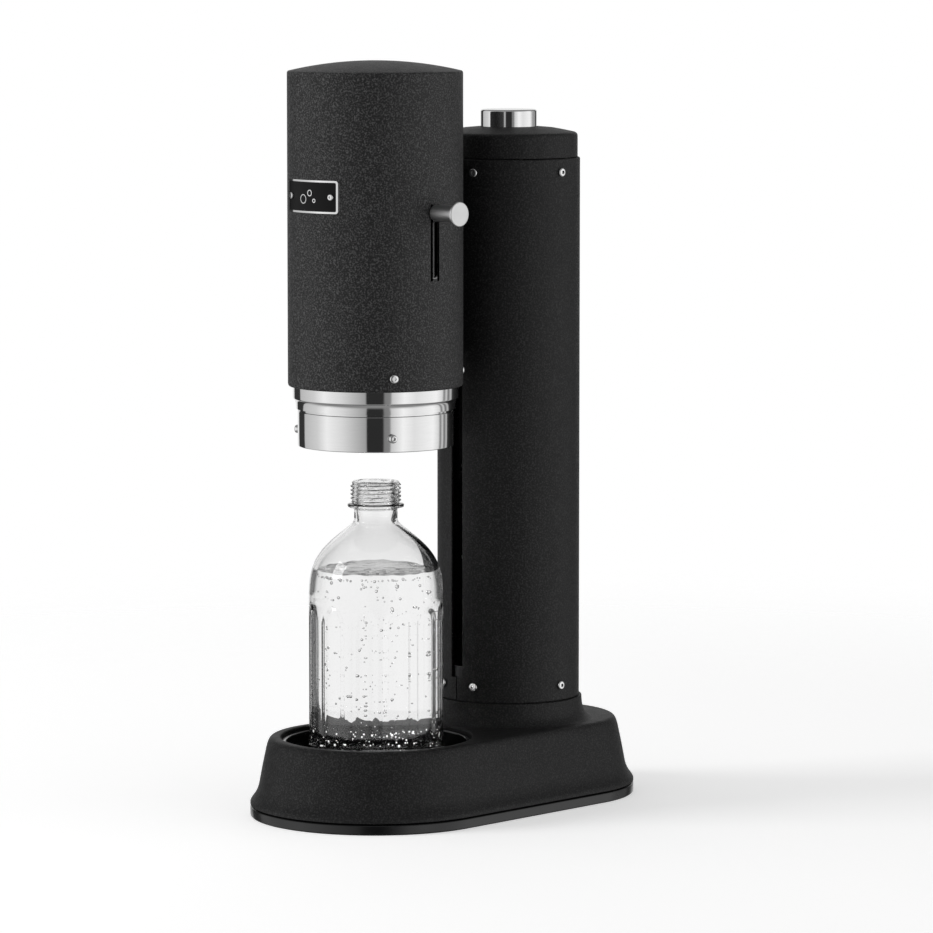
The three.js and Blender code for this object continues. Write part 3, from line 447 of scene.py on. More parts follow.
def new_group(name, inputs, outputs):
    """A node group with a Vector input, the inputs given as (name, kind, default) and float outputs."""
    group = bpy.data.node_groups.new(name, "ShaderNodeTree")
    group.interface.new_socket(name="Vector", in_out="INPUT", socket_type="NodeSocketVector")
    for socket, kind, default in inputs:
        made = group.interface.new_socket(name=socket, in_out="INPUT", socket_type=kind)
        made.default_value = default
    for socket in outputs:
        group.interface.new_socket(name=socket, in_out="OUTPUT", socket_type="NodeSocketFloat")
    return group, group.nodes.new("NodeGroupInput").outputs, group.nodes.new("NodeGroupOutput")


def sand_group():
    """Grain of a sand-textured powder coat: a height for bump and a mask of paler grains."""
    group, given, out = new_group(
        "Sand Grain", [("Grain", "NodeSocketFloat", 0.0009)], ("Height", "Fleck", "Cloud"))
    scale = calc(group, "DIVIDE", 1.0, given["Grain"])
    grain = add(group, "ShaderNodeTexNoise", {"Detail": 1.5, "Roughness": 0.5})
    pits = add(group, "ShaderNodeTexVoronoi")
    cloud = add(group, "ShaderNodeTexNoise", {"Detail": 2.0})
    for texture, factor in ((grain, 1.0), (pits, 0.75), (cloud, 0.12)):
        feed(group, texture, {"Vector": given["Vector"], "Scale": calc(group, "MULTIPLY", scale, factor)})
    bumps = calc(group, "MULTIPLY", pits.outputs["Distance"], 0.45)
    feed(group, out, {
        "Height": calc(group, "ADD", grain.outputs["Fac"], bumps),
        "Fleck": ranged(group, grain.outputs["Fac"], from_min=0.46, from_max=0.72),
        "Cloud": cloud.outputs["Fac"]})


def lines_group():
    """Fine lines left by turning or brushing, drawn along one stretched direction."""
    group, given, out = new_group(
        "Fine Lines", [("Stretch", "NodeSocketVector", (1, 1, 1))], ("Height", "Sheen"))
    mapping = add(group, "ShaderNodeMapping", {"Vector": given["Vector"], "Scale": given["Stretch"]})
    noise = add(group, "ShaderNodeTexNoise", {
        "Vector": mapping.outputs["Vector"], "Scale": 1.0, "Detail": 4.0})
    feed(group, out, {"Height": noise.outputs["Fac"], "Sheen": ranged(group, noise.outputs["Fac"])})


def smudge_group():
    """Faint handling marks that make a polished face a little duller in places."""
    group, given, out = new_group("Smudges", [("Size", "NodeSocketFloat", 30.0)], ("Mask",))
    noise = add(group, "ShaderNodeTexNoise", {
        "Vector": given["Vector"], "Scale": given["Size"], "Detail": 5.0})
    feed(group, out, {"Mask": ranged(group, noise.outputs["Fac"], from_min=0.45, from_max=0.75)})


def group_node(tree, name, **values):
    return add(tree, "ShaderNodeGroup", values, node_tree=bpy.data.node_groups[name]).outputs


# ------------------------------------------------------------------ materials

def new_material(name):
    """An empty node material; gives its tree, its shader and the piece's own coordinates."""
    finish = bpy.data.materials.new("fine_" + name)
    finish.use_nodes = True
    tree = finish.node_tree
    place = add(tree, "ShaderNodeTexCoord").outputs["Object"]
    return tree, tree.nodes["Principled BSDF"], place


def powder_coat(name, fleck, shine):
    """Sand-textured black; fleck is the share of the paler grains' brightness."""
    tree, shader, place = new_material(name)
    grain = group_node(tree, "Sand Grain", Vector=place, Grain=finishes().coat_grain)
    base, paler = opaque(finishes().coat_colour), opaque(finishes().coat_fleck, fleck)
    feed(tree, shader, {
        "Base Color": mixed(tree, grain["Fleck"], base, paler),
        "Roughness": ranged(tree, grain["Cloud"], to_min=0.50, to_max=0.62),
        "Specular IOR Level": shine,
        "Normal": bump(tree, grain["Height"], 0.25 * MM)})


def gloss_black(name, rough):
    tree, shader, place = new_material(name)
    marks = group_node(tree, "Smudges", Vector=place, Size=60.0)
    feed(tree, shader, {
        "Base Color": opaque(finishes().gloss_colour),
        "Roughness": ranged(tree, marks["Mask"], to_min=rough, to_max=rough + 0.12)})


def moulded(name, grey, rough, shine=0.5):
    """Moulded plastic or rubber with a faint skin."""
    tree, shader, place = new_material(name)
    skin = group_node(tree, "Sand Grain", Vector=place, Grain=0.4 * MM)
    feed(tree, shader, {
        "Base Color": mixed(tree, skin["Cloud"], opaque(grey), opaque(grey, 1.5)),
        "Roughness": ranged(tree, skin["Cloud"], to_min=rough - 0.05, to_max=rough + 0.08),
        "Specular IOR Level": shine,
        "Normal": bump(tree, skin["Height"], 0.02 * MM)})


def metal(name, tint, rough, stretch, depth, spread=0.08):
    """Metal with fine lines; the stretch sets how tight they lie along each axis."""
    tree, shader, place = new_material(name)
    lines = group_node(tree, "Fine Lines", Vector=place, Stretch=stretch)
    marks = group_node(tree, "Smudges", Vector=place, Size=45.0)
    feed(tree, shader, {
        "Metallic": 1.0,
        "Base Color": mixed(tree, lines["Sheen"], opaque(tint, 0.9), opaque(tint)),
        "Roughness": ranged(tree, marks["Mask"], to_min=rough, to_max=rough + spread),
        "Normal": bump(tree, lines["Height"], depth * MM)})


def turned_face(name, tint, rough, centre, pitch):
    """A lathe-cut end face: rings of fine cuts about an axis along X."""
    tree, shader, place = new_material(name)
    mapping = add(tree, "ShaderNodeMapping", {"Vector": place, "Location": (0, -centre.y, -centre.z)})
    split = add(tree, "ShaderNodeSeparateXYZ", {"Vector": mapping.outputs["Vector"]}).outputs
    squares = [calc(tree, "POWER", split[axis], 2.0) for axis in "YZ"]
    reach = calc(tree, "SQRT", calc(tree, "ADD", *squares))
    rings = calc(tree, "SINE", calc(tree, "MULTIPLY", reach, TURN / pitch))
    feed(tree, shader, {
        "Metallic": 1.0,
        "Base Color": opaque(tint),
        "Roughness": ranged(tree, rings, to_min=rough, to_max=rough + 0.06),
        "Normal": bump(tree, rings, 0.006 * MM)})


def glass(name, ior, painted_glow=0.0):
    tree, shader, place = new_material(name)
    marks = group_node(tree, "Smudges", Vector=place, Size=25.0)
    feed(tree, shader, {
        "Base Color": (1, 1, 1, 1),
        "Emission Color": (1, 1, 1, 1),
        # The emission paints light into the glass. It is used for the glinting bubbles at the foot.
        "Emission Strength": painted_glow,
        "Roughness": ranged(tree, marks["Mask"], to_min=0.0, to_max=0.004),
        "IOR": ior,
        "Transmission Weight": 1.0})


def make_materials():
    sand_group()
    lines_group()
    smudge_group()
    steel = tuple(finishes().steel_colour)
    upright = (90, 90, 2600)
    powder_coat("powder_coat", 0.86, 0.42)
    # A darker copy of the same coat, with dimmer pale grains and less shine: painted shade on base, column
    # and cap.
    powder_coat("powder_coat_painted_shade", 0.33, 0.29)
    gloss_black("gloss_black", 0.12)
    gloss_black("foot_rubber", 0.22)
    moulded("nylon", (0.012, 0.012, 0.013), 0.5)
    moulded("seal_rubber", (0.16, 0.16, 0.16), 0.6)
    moulded("plate_black", (0.004, 0.004, 0.004), 0.4, shine=0.12)
    # Pale grey that paints the highlight on the lever slot's chamfer and wall.
    moulded("slot_painted_highlight", (0.32, 0.32, 0.32), 0.45)
    moulded("strip_grey", (0.11, 0.11, 0.11), 0.5)
    metal("polished_steel", steel, 0.05, upright, 0.0012, 0.05)
    metal("brushed_steel", opaque(steel, 0.9)[:3], 0.26, upright, 0.006)
    metal("aluminium", (0.66, 0.67, 0.68), 0.34, (300, 300, 900), 0.006)
    metal("brass", (0.72, 0.53, 0.24), 0.3, upright, 0.004)
    metal("lever_shank", steel, 0.32, (2600, 90, 90), 0.004)
    turned_face("lever_face", opaque(steel, 0.8)[:3], 0.3, middle("lever_knob"), 0.22 * MM)
    glass("glass", 1.5)
    glass("water", 1.33)
    glass("bubble", 0.75)
    # The bubbles at the foot glow: a painted glint.
    glass("bubble_painted_glint", 0.75, 0.35)


# ------------------------------------------------------------------ base

def footprint(offset):
    """Front and back circles of the foot's outline at an offset: (centre y, radius) each."""
    foot_low, foot_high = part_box("foot_ring")
    back_y = COLUMN_Y + 14 * MM
    return (HEAD_Y, HEAD_Y - foot_low.y + offset), (back_y, foot_high.y - back_y + offset)


def outline_loft(name, profile):
    """Extrudes the foot's outline upwards through (offset, height) pairs, scaling its two ends apart."""
    front, back = footprint(profile[0][0])
    foot = profile[0][1]
    deselect()
    bpy.ops.mesh.primitive_circle_add(
        vertices=192, radius=front[1], location=(0, front[0], foot), fill_type="NGON")
    piece = settle(named(name))
    lean = math.asin((front[1] - back[1]) / (back[0] - front[0]))
    split = front[0] + front[1] * math.sin(lean) + 0.2 * MM
    ratio = back[1] / front[1]
    pick(piece, lambda co: co.y > split, "VERT")
    bpy.ops.transform.resize(value=(ratio, ratio, 1), center_override=(0, front[0], foot))
    bpy.ops.transform.translate(value=(0, back[0] - front[0], 0))
    done()
    centre = (front[0] + back[0]) / 2
    for (offset, height), (after, rise) in zip(profile, profile[1:]):
        pick(piece, lambda co: abs(co.z - height) < NEAR, "FACE")
        bpy.ops.mesh.extrude_region_move(TRANSFORM_OT_translate={"value": (0, 0, rise - height)})
        done()
        for side, (y, now), (_, then) in zip((-1, 1), footprint(offset), footprint(after)):
            if now != then:
                pick(piece, lambda co: abs(co.z - rise) < NEAR and (co.y - centre) * side > 0, "VERT")
                bpy.ops.transform.resize(value=(then / now, then / now, 1), center_override=(0, y, rise))
                done()
    return face_outward(piece)


def skirt_profile():
    """Side of the base from its foot up to the deck, as offsets from the foot's outline."""
    foot = low("base_shell").z
    edge = outline(0, foot, (0, 0), (0, 1.6)).bend((-0.7, 3.2), (-2.2, 4.9), 4)
    edge.bend((-4.9, 8.5), (-5.8, 14), 6)
    edge += curve(edge[-1], (-7.6 * MM, foot + 24 * MM), (-9.6 * MM, DECK - 9 * MM), 5)
    return edge.at(0, DECK).bend((-10.6, -3.4), (-12.1, -1.4), 5).bend((-13.2, 0), (-15.2, 0), 5)


class CARBONATOR_OT_base(bpy.types.Operator):
    """Builds the base shell with its tray well and column collar"""
    bl_idname = "carbonator.base"
    bl_label = "Base"

    def execute(self, context):
        shell = outline_loft("base_body", skirt_profile())
        well = radius("drip_tray") + 0.3 * MM
        bore = radius("column_shell")
        cut(shell, peg("well_cutter", well, (0, HEAD_Y, DECK), 60 * MM, sides=192))
        cut(shell, peg("column_cutter", bore - 3 * MM, (0, COLUMN_Y, DECK), 120 * MM, sides=160))
        bevel(shell, lambda co: abs(from_axis(co) - well) < 0.05 * MM and co.z > DECK - 0.01 * MM,
              1.1 * MM, 4)
        smooth(shell, 50)
        collar = self.collar(bore, low("column_shell").z - 0.3 * MM)
        cut(collar, peg("well_cutter", well + 1.1 * MM, (0, HEAD_Y, DECK), 60 * MM, sides=192))
        join(shell, smooth(collar, 50))
        seat = low("drip_tray").z
        pan = outline(0, seat, (0, -0.3)).at(well, seat).to((0, -0.3)).at(well, DECK).to((0, -1), (0.05, -1))
        pan.at(well, seat).to((0.05, -2.5)).at(0, seat).to((0, -2.5))
        join(shell, smooth(turned("base_pan", pan, y=HEAD_Y, steps=96)))
        # The base takes the darker copy of the coat: painted shade.
        finish_piece(shell, "frame", "powder_coat", "base_shell", finish="powder_coat_painted_shade")
        return {"FINISHED"}

    @staticmethod
    def collar(bore, top):
        """The flare that leads from the deck up to the column."""
        flare = outline(bore, top, (-3, -5), (-3, -0.4), (1.2, 0)).bend((1.6, 0), (1.65, -0.5), 3)
        flare.at(bore, DECK).bend((1.9, 5.5), (4.4, 3), 6).bend((6.6, 0.5), (9.2, -0.15), 6)
        flare.to((9.2, -6), (-3, -6))
        return turned("base_collar", flare, y=COLUMN_Y, steps=160, whole=True)


class CARBONATOR_OT_foot(bpy.types.Operator):
    """Builds the glossy foot ring"""
    bl_idname = "carbonator.foot"
    bl_label = "Foot ring"

    def execute(self, context):
        top = high("foot_ring").z
        profile = outline(0, 0, (-0.5, 0), (-0.1, 0.4), (0, 1))
        profile.at(0, top).to((0, -0.9), (-0.2, -0.3), (-0.9, 0))
        foot = outline_loft("foot_ring_fine", profile)
        cut(foot, outline_loft("foot_cutter", outline(0, 0, (-8, -2)).at(0, top).to((-8, 2))))
        finish_piece(smooth(foot, 50), "frame", "foot_rubber", "foot_ring")
        return {"FINISHED"}


class CARBONATOR_OT_tray(bpy.types.Operator):
    """Builds the drip tray"""
    bl_idname = "carbonator.tray"
    bl_label = "Drip tray"

    def execute(self, context):
        rim = radius("drip_tray")
        base, top = levels("drip_tray")
        inner, floor = rim - 3.3 * MM, base + 2 * MM
        profile = outline(0, base, (0, 0)).at(inner, base).to((0, 0)).round((0, 2), 2, -80, 0, 4)
        profile.at(inner, top).to((2, -2)).at(rim, top).to((-0.4, -1.7)).round((-0.6, -0.6), 0.6, 0, 90, 4)
        profile.at(inner, top).round((0.9, -0.9), 0.9, 90, 180, 5)
        profile.at(inner, floor).round((-2.5, 2.5), 2.5, 0, -90, 6).to((-9, 0)).at(0, floor).to((0, 0))
        spun("drip_tray", "tray", "gloss_black", profile, 160, whole=False)
        return {"FINISHED"}


# ------------------------------------------------------------------ head and shield

def slot_cutter(x, width, bottom, top):
    """A round-ended upright slot that cuts along X."""
    cutter = peg("slot_cutter", width / 2, (x, HEAD_Y, bottom + width / 2), 12 * MM, "X", 32)
    pick(cutter, lambda co: co.z > bottom + width / 2 + 0.001 * MM, "VERT")
    bpy.ops.transform.translate(value=(0, 0, top - bottom - width))
    done()
    return cutter


class CARBONATOR_OT_head(bpy.types.Operator):
    """Builds the domed head shell with its lever slot and back gap"""
    bl_idname = "carbonator.head"
    bl_label = "Head shell"

    def execute(self, context):
        size = radius("head_shell")
        foot, top = levels("head_shell")
        slot_width = sizes().slot_width
        slot_top = middle("lever_knob").z + slot_width / 2
        profile = self.profile(size, foot, top, slot_top)
        shell = turned("head_shell_fine", profile, y=HEAD_Y, steps=192)
        back = HEAD_Y + size
        slit(shell, NECK_GAP, back - 8 * MM, back + 5 * MM, foot - 5 * MM, NECK_GAP_TOP)
        cut(shell, slot_cutter(size, slot_width, SLOT_FOOT, slot_top))
        bevel(shell, lambda co: co.x > size - 0.6 * MM and abs(co.y - HEAD_Y) < slot_width / 2 + 0.02 * MM
              and from_axis(co) > size - 0.08 * MM
              and SLOT_FOOT - 0.1 * MM < co.z < slot_top + 0.1 * MM, 0.55 * MM, 2)
        smooth(shell, 40)
        finish_piece(shell, "frame", "powder_coat", "head_shell")
        # Paints a highlight on the slot's chamfer and wall.
        self.paint_slot_highlight(shell, size, slot_width, slot_top)
        return {"FINISHED"}

    @staticmethod
    def profile(size, foot, top, slot_top):
        wall = sizes().shell_wall
        crease, dome_low = top - 7.5 * MM, top - 6.2 * MM
        brow = size - 0.9 * MM
        sphere = (brow ** 2 + (top - dome_low) ** 2) / (2 * (top - dome_low))
        profile = Outline([(size - wall, foot), (brow, foot)])
        edge = (size, foot + sizes().shell_corner)
        profile += curve(profile[-1], (size - 0.1 * MM, foot + 0.2 * MM), edge, 6)
        profile.at(size, SLOT_FOOT).to((0, -24), (0, -2)).at(size, slot_top).to((0, 2), (0, 24))
        profile.at(size, crease).to((0, -0.2))
        profile += curve(profile[-1], (size, crease + 0.9 * MM), (brow, dome_low), 5)
        rows = 16
        for step in range(1, rows + 1):
            angle = math.asin(brow / sphere) * (1 - step / rows)
            profile.append((sphere * math.sin(angle), top - sphere * (1 - math.cos(angle))))
        profile += [(0, top - wall), (size * 0.6, top - wall - 2.4 * MM)]
        profile.at(size - wall, dome_low - wall).to((-1, 0)).at(size - wall, crease).to((0, -2))
        profile.append((size - wall, foot))
        return profile

    @staticmethod
    def paint_slot_highlight(shell, size, width, top):
        """The slot's chamfer and wall get a pale grey: a painted highlight where they catch the light."""
        shell.data.materials.append(material("slot_painted_highlight"))
        for face in shell.data.polygons:
            centre = face.center
            if centre.x > size - 4 * MM and abs(centre.y - HEAD_Y) < width / 2 + 0.6 * MM:
                if SLOT_FOOT - 0.6 * MM < centre.z < top + 0.6 * MM and abs(face.normal.x) < 0.93:
                    face.material_index = 1


class CARBONATOR_OT_shield(bpy.types.Operator):
    """Builds the polished collar, the sliding shield and its hem"""
    bl_idname = "carbonator.shield"
    bl_label = "Collar and shield"

    def execute(self, context):
        self.collar()
        self.tube()
        self.hem()
        return {"FINISHED"}

    @staticmethod
    def collar():
        foot, top = low("head_collar").z, low("head_shell").z
        outer = radius("head_shell") - 2.95 * MM
        inner = radius("shield_tube") + 0.9 * MM
        lip = top - 7.6 * MM
        profile = outline(inner, foot, (0, 0.6), (0.3, 0), (0.7, 0.1))
        lead = (inner + 0.75 * MM, lip - 1.8 * MM)
        profile += curve(profile[-1], lead, (outer - 0.9 * MM, lip - 0.5 * MM), 10)
        profile.at(outer, lip).bend((0, -0.3), (0, 0.6), 5)
        profile.at(outer, top).to((0, -0.2), (0.9, 0.4), (0.9, 16))
        profile.at(inner, top).to((0.8, 16), (0.8, 0), (0, -2))
        ring = turned("head_collar_fine", profile, y=HEAD_Y, steps=192, whole=True)
        near, far = HEAD_Y + inner - 5 * MM, HEAD_Y + outer + 5 * MM
        slit(ring, RACK_GAP, near, far, foot - 5 * MM, top + 30 * MM)
        finish_piece(smooth(ring, 30), "frame", "polished_steel", "head_collar")

    @staticmethod
    def tube():
        outer = radius("shield_tube")
        foot, top = levels("shield_tube")
        profile = outline(outer, foot, (-1.2, 0), (0, 0)).at(outer, top).to((0, -0.4), (-0.6, 0), (-1.2, 0))
        spun("shield_tube", "shield", "polished_steel", profile, 192)

    @staticmethod
    def hem():
        outer = radius("shield_hem") - 0.5 * MM
        tube = radius("shield_tube")
        foot, top = low("shield_hem").z, high("shield_hem").z + 3.2 * MM
        profile = outline(tube, foot, (-1.2, 0)).at(outer, foot).to((-0.7, 0))
        profile.round((-0.6, 0.6), 0.6, -80, 0, 4).to((0, 6)).at(outer, top).to((0, -1))
        profile += curve(profile[-1], (outer, top - 0.1 * MM), (tube + 0.1 * MM, top), 5)
        profile.at(tube, foot).to((0.1, 1), (-1.2, 1))
        spun("shield_hem", "shield", "polished_steel", profile, 192, 30)


class CARBONATOR_OT_nozzle(bpy.types.Operator):
    """Builds the carriage, nozzle, mouth seal and gas lance inside the shield"""
    bl_idname = "carbonator.nozzle"
    bl_label = "Nozzle"

    def execute(self, context):
        self.round_part("nozzle_block", "gloss_black", [
            (0, 0), (0.56, 0), (0.58, 0.02), (0.58, 0.41), (0.97, 0.42), (1, 0.45), (1, 0.86), (0.67, 0.99),
            (0, 1)])
        self.round_part("gas_lance", "polished_steel", [
            (0, 0), (0.35, 0), (0.55, 0.01), (1, 0.02), (1, 1), (0, 1)])
        foot, top = levels("mouth_seal")
        profile = outline(0, foot, (9, 0.3), (9.4, 0)).at(radius("mouth_seal"), foot).to((-0.6, 0), (0, 0.6))
        profile.at(radius("mouth_seal"), top).to((0, -0.2)).at(0, top).to((9, 0))
        spun("mouth_seal", "shield", "seal_rubber", profile, 64)
        plate = radius("carriage_plate")
        foot, top = levels("carriage_plate")
        profile = outline(0, foot, (9, 0), (20, 0), (20.6, 0.6))
        profile.at(plate, foot).to((-4, 0.6), (-3.4, 0), (-0.4, 0), (0, 0.4)).at(plate, top).to((0, 0))
        spun("carriage_plate", "shield", "nylon", profile.at(0, top).to((9, 0)), 128)
        return {"FINISHED"}

    @staticmethod
    def round_part(node, slot, shares):
        """A turned stand-in whose profile is given in shares of the node's radius and height."""
        foot, top = levels(node)
        profile = [(radius(node) * across, foot + (top - foot) * up) for across, up in shares]
        spun(node, "shield", slot, profile, 48, whole=False)


# ------------------------------------------------------------------ column and button

class CARBONATOR_OT_column(bpy.types.Operator):
    """Builds the column shell and its cap"""
    bl_idname = "carbonator.column"
    bl_label = "Column"

    def execute(self, context):
        size = radius("column_shell")
        inner = size - sizes().shell_wall
        foot, top = levels("column_shell")
        profile = outline(inner, foot, (0, 0)).at(size, foot).to((-0.4, 0), (0, 0.4), (0, 60))
        profile.at(size, top).to((0, -0.5), (-0.5, 0)).at(inner, top).to((0, 0))
        shell = turned("column_shell_fine", profile, y=COLUMN_Y, steps=192, whole=True)
        near, far = COLUMN_Y - size - 5 * MM, COLUMN_Y - size + 9 * MM
        slit(shell, RACK_GAP, near, far, 79 * MM, top - 2.3 * MM)
        slit(shell, 0.4 * MM, near, far, foot - 2 * MM, 80 * MM)
        # The column takes the darker copy of the coat: painted shade.
        finish_piece(smooth(shell, 40), "frame", "powder_coat", "column_shell", finish="powder_coat_painted_shade")
        self.cap()
        return {"FINISHED"}

    @staticmethod
    def cap():
        size = radius("column_cap")
        foot, top = levels("column_cap")
        bore = radius("gas_button") + 0.5 * MM
        lip, shoulder = top - 0.9 * MM, foot + 13.6 * MM
        profile = outline(size, foot, (-1.6, 0), (-0.3, 0), (0, 0.3), (0, 8))
        profile.at(size, shoulder).to((-0.02, -0.5)).bend((-0.05, 1.3), (-1.9, 2), 6)
        profile.at(size, lip).bend((-9, -1.0), (-15, 0), 8)
        profile.at(bore, top).to((3, -0.25), (0.8, -0.05), (0.2, -0.2), (0, -0.7))
        profile.at(bore, foot).to((0, 6), (1.5, 6)).at(bore, lip).to((1.5, -2)).at(size, lip).to((-15, -2.2))
        profile.at(size, shoulder).to((-2.4, -1), (-1.6, -3))
        # The cap takes the darker copy of the coat: painted shade.
        spun("column_cap", "frame", "powder_coat", profile, 160, 30, y=COLUMN_Y, finish="powder_coat_painted_shade")


class CARBONATOR_OT_button(bpy.types.Operator):
    """Builds the chrome gas button and the spring under it"""
    bl_idname = "carbonator.button"
    bl_label = "Gas button"

    def execute(self, context):
        size = 17.8 * MM
        foot, top = low("column_cap").z + 0.9 * MM, high("gas_button").z
        under = high("button_spring").z + 0.2 * MM
        profile = outline(size, foot, (-2, 0), (-0.2, 0), (0, 0.2), (0, 12))
        profile.at(size, top).to((0, -1.7)).round((-1.6, -1.6), 1.6, 0, 82, 7).to((-3, -0.02))
        for share, dip in ((0.6, 0.35), (0.25, 0.55), (0, 0.6)):
            profile.append((size * share, top - dip * MM))
        profile.at(0, under).to((0, 0)).at(size, under).to((-2, 0))
        button = turned("gas_button_fine", profile, y=middle("gas_button").y, steps=128)
        base, stem_top = low("gas_button").z, under + 0.2 * MM
        stem = peg("button_stem", 3 * MM, (0, middle("valve_pin").y, (base + stem_top) / 2), stem_top - base)
        finish_piece(smooth(join(button, stem), 30), "button", "polished_steel", "gas_button")
        self.spring()
        return {"FINISHED"}

    @staticmethod
    def spring():
        """The coil under the button."""
        wire, turns, stroke = 0.55 * MM, 8, 4 * MM
        foot, top = levels("button_spring")
        axis_y = middle("valve_pin").y
        deselect()
        bpy.ops.mesh.primitive_circle_add(
            vertices=10, radius=wire, rotation=(math.pi / 2, 0, 0),
            location=(radius("button_spring") - wire, 0, 0))
        coil = settle(named("button_spring_fine"))
        pitch = (top - foot - 2 * wire) / turns
        modify(coil, "SCREW", axis="Z", angle=TURN, screw_offset=pitch, iterations=turns,
               steps=24, render_steps=24)
        face_outward(coil, fill=True)
        coil.location = (0, axis_y, foot + wire)
        smooth(settle(coil), 60)
        finish_piece(coil, "frame", "brushed_steel", "button_spring")
        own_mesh(coil)


# ------------------------------------------------------------------ lever

class CARBONATOR_OT_lever(bpy.types.Operator):
    """Builds the turned lever and the strip behind its slot"""
    bl_idname = "carbonator.lever"
    bl_label = "Lever"

    def execute(self, context):
        inner, outer = low("lever_knob").x, high("lever_knob").x
        shank, back = 5.2 * MM, outer - 2.1 * MM
        disc = (high("lever_knob").z - low("lever_knob").z) / 2 - 0.1 * MM
        shoulder = radius("head_shell") + 0.45 * MM
        profile = outline(0, inner, (0, 0), (3.1, 0)).at(0, shoulder).to((3.1, 0))
        profile.at(shank, shoulder).to((-0.4, 0), (0, 0.4))
        profile.at(shank, back).to((0, -1.5), (-0.8, -1.3), (-0.8, -0.2), (0.2, 0))
        profile.at(disc, back).to((-0.5, 0), (0, 0.5))
        profile.at(disc, outer).to((0, -0.7)).round((-0.7, -0.7), 0.7, 10, 90, 4).to((-2, -0.02))
        profile.at(disc * 0.4, outer).to((0, -0.12)).at(0, outer).to((0, -0.15))
        lever = turned("lever_knob_fine", profile, steps=96)
        self.slot_strip()
        lever.rotation_euler = (0, math.pi / 2, 0)
        lever.location = (0, HEAD_Y, middle("lever_knob").z)
        smooth(settle(lever), 30)
        finish_piece(lever, "lever", "brushed_steel", "lever_knob", finish="lever_shank")
        lever.data.materials.append(material("lever_face"))
        for face in lever.data.polygons:
            if face.center.x > outer - 0.8 * MM and face.normal.x > 0.8:
                face.material_index = 1
        return {"FINISHED"}

    @staticmethod
    def slot_strip():
        """A strip hung from the slider that closes most of the slot from behind."""
        face = radius("head_shell") - sizes().shell_wall - 0.35 * MM
        top = low("lever_slider").z + 0.3 * MM
        strip = block("slot_strip", (face - 1.2 * MM, HEAD_Y - 4 * MM, top - 43 * MM),
                      (face, HEAD_Y + 1 * MM, top))
        bevel(strip, lambda co: True, 0.3 * MM, 2)
        finish_piece(strip, "lever", "brushed_steel", finish="strip_grey")


# ------------------------------------------------------------------ nameplate

def curved_strip(name, inner, outer, bottom, top):
    """A strip bent round the front of the head, longer and higher than the plate that is cut from it."""
    half_angle = math.radians(28)
    profile = outline(inner, bottom, (0, -3)).at(outer, bottom).to((0, -3))
    profile.at(outer, top).to((0, 3)).at(inner, top).to((0, 3))
    piece = turned(name, profile, steps=72, whole=True, angle=2 * half_angle, start=-math.pi / 2 + half_angle)
    face_outward(piece, fill=True)
    piece.location = (0, HEAD_Y, 0)
    return settle(piece)


def rounded_block(half, bottom, top, corner):
    """A block in front of the head with rounded corners, seen from the front."""
    piece = block("nameplate_cutter", (-half, HEAD_Y - 80 * MM, bottom), (half, HEAD_Y - 30 * MM, top))
    for side in (-1, 1):
        for level in (bottom, top):
            bevel(piece, lambda co: co.x * side > 0 and abs(co.z - level) < 0.1 * MM, corner, 8)
    return piece


class CARBONATOR_OT_nameplate(bpy.types.Operator):
    """Builds the blank nameplate, its bright border and a motif of three bubbles"""
    bl_idname = "carbonator.nameplate"
    bl_label = "Nameplate"

    def execute(self, context):
        bottom, top = levels("nameplate")
        half, rim = radius("nameplate"), 1.15 * MM
        inner = radius("head_shell") + 0.1 * MM
        outer = HEAD_Y - low("nameplate").y - 0.05 * MM
        field = (half - rim, bottom + rim, top - rim, 0.9 * MM)
        border = curved_strip("nameplate_border", inner, outer, bottom, top)
        cut(border, rounded_block(half, bottom, top, 1.6 * MM), "INTERSECT")
        cut(border, rounded_block(*field))
        plate = curved_strip("nameplate_face", inner, outer - 0.25 * MM, bottom, top)
        cut(plate, rounded_block(*field), "INTERSECT")
        finish_piece(smooth(border, 30), "frame", "polished_steel", "nameplate")
        finish_piece(smooth(plate, 30), "frame", "gloss_black", finish="plate_black")
        self.motif(outer - 0.25 * MM, (bottom + top) / 2)
        return {"FINISHED"}

    @staticmethod
    def motif(distance, height):
        """Three plain rings, like rising bubbles."""
        rings = []
        for angle, up, size in ((-4.5, -1.6, 2.9), (1.6, 2.2, 2.0), (5.4, -2.4, 1.3)):
            profile = outline(size * MM, 0, (-0.55, -0.1), (0, -0.1), (0, 0.16), (-0.12, 0.2), (-0.43, 0.2))
            ring = smooth(turned("bubble_ring", profile.to((-0.55, 0.16)), steps=40, whole=True))
            rings.append(outward(ring, math.radians(angle), distance, height + up * MM, HEAD_Y))
        motif = join(*rings)
        motif.name = "nameplate_motif"
        finish_piece(motif, "frame", "polished_steel")


# ------------------------------------------------------------------ screws

def screw_head(name, size, proud):
    """A domed head with a socket, made along +Z on the plane z = 0, with a short shank below."""
    profile = outline(0, 0, (0, -2.2), (1.25, -2.2), (1.25, 0.02)).at(size, 0).to((-0.25, 0.02), (0, 0.25))
    profile.append((size, proud * 0.38))
    profile += curve(profile[-1], (size * 0.97, proud * 0.98), (size * 0.55, proud), 6)
    profile.append((0, proud))
    head = turned(name, profile, steps=40)
    return smooth(cut(head, peg("socket_cutter", size * 0.47, (0, 0, proud), proud * 1.1, sides=6)), 30)


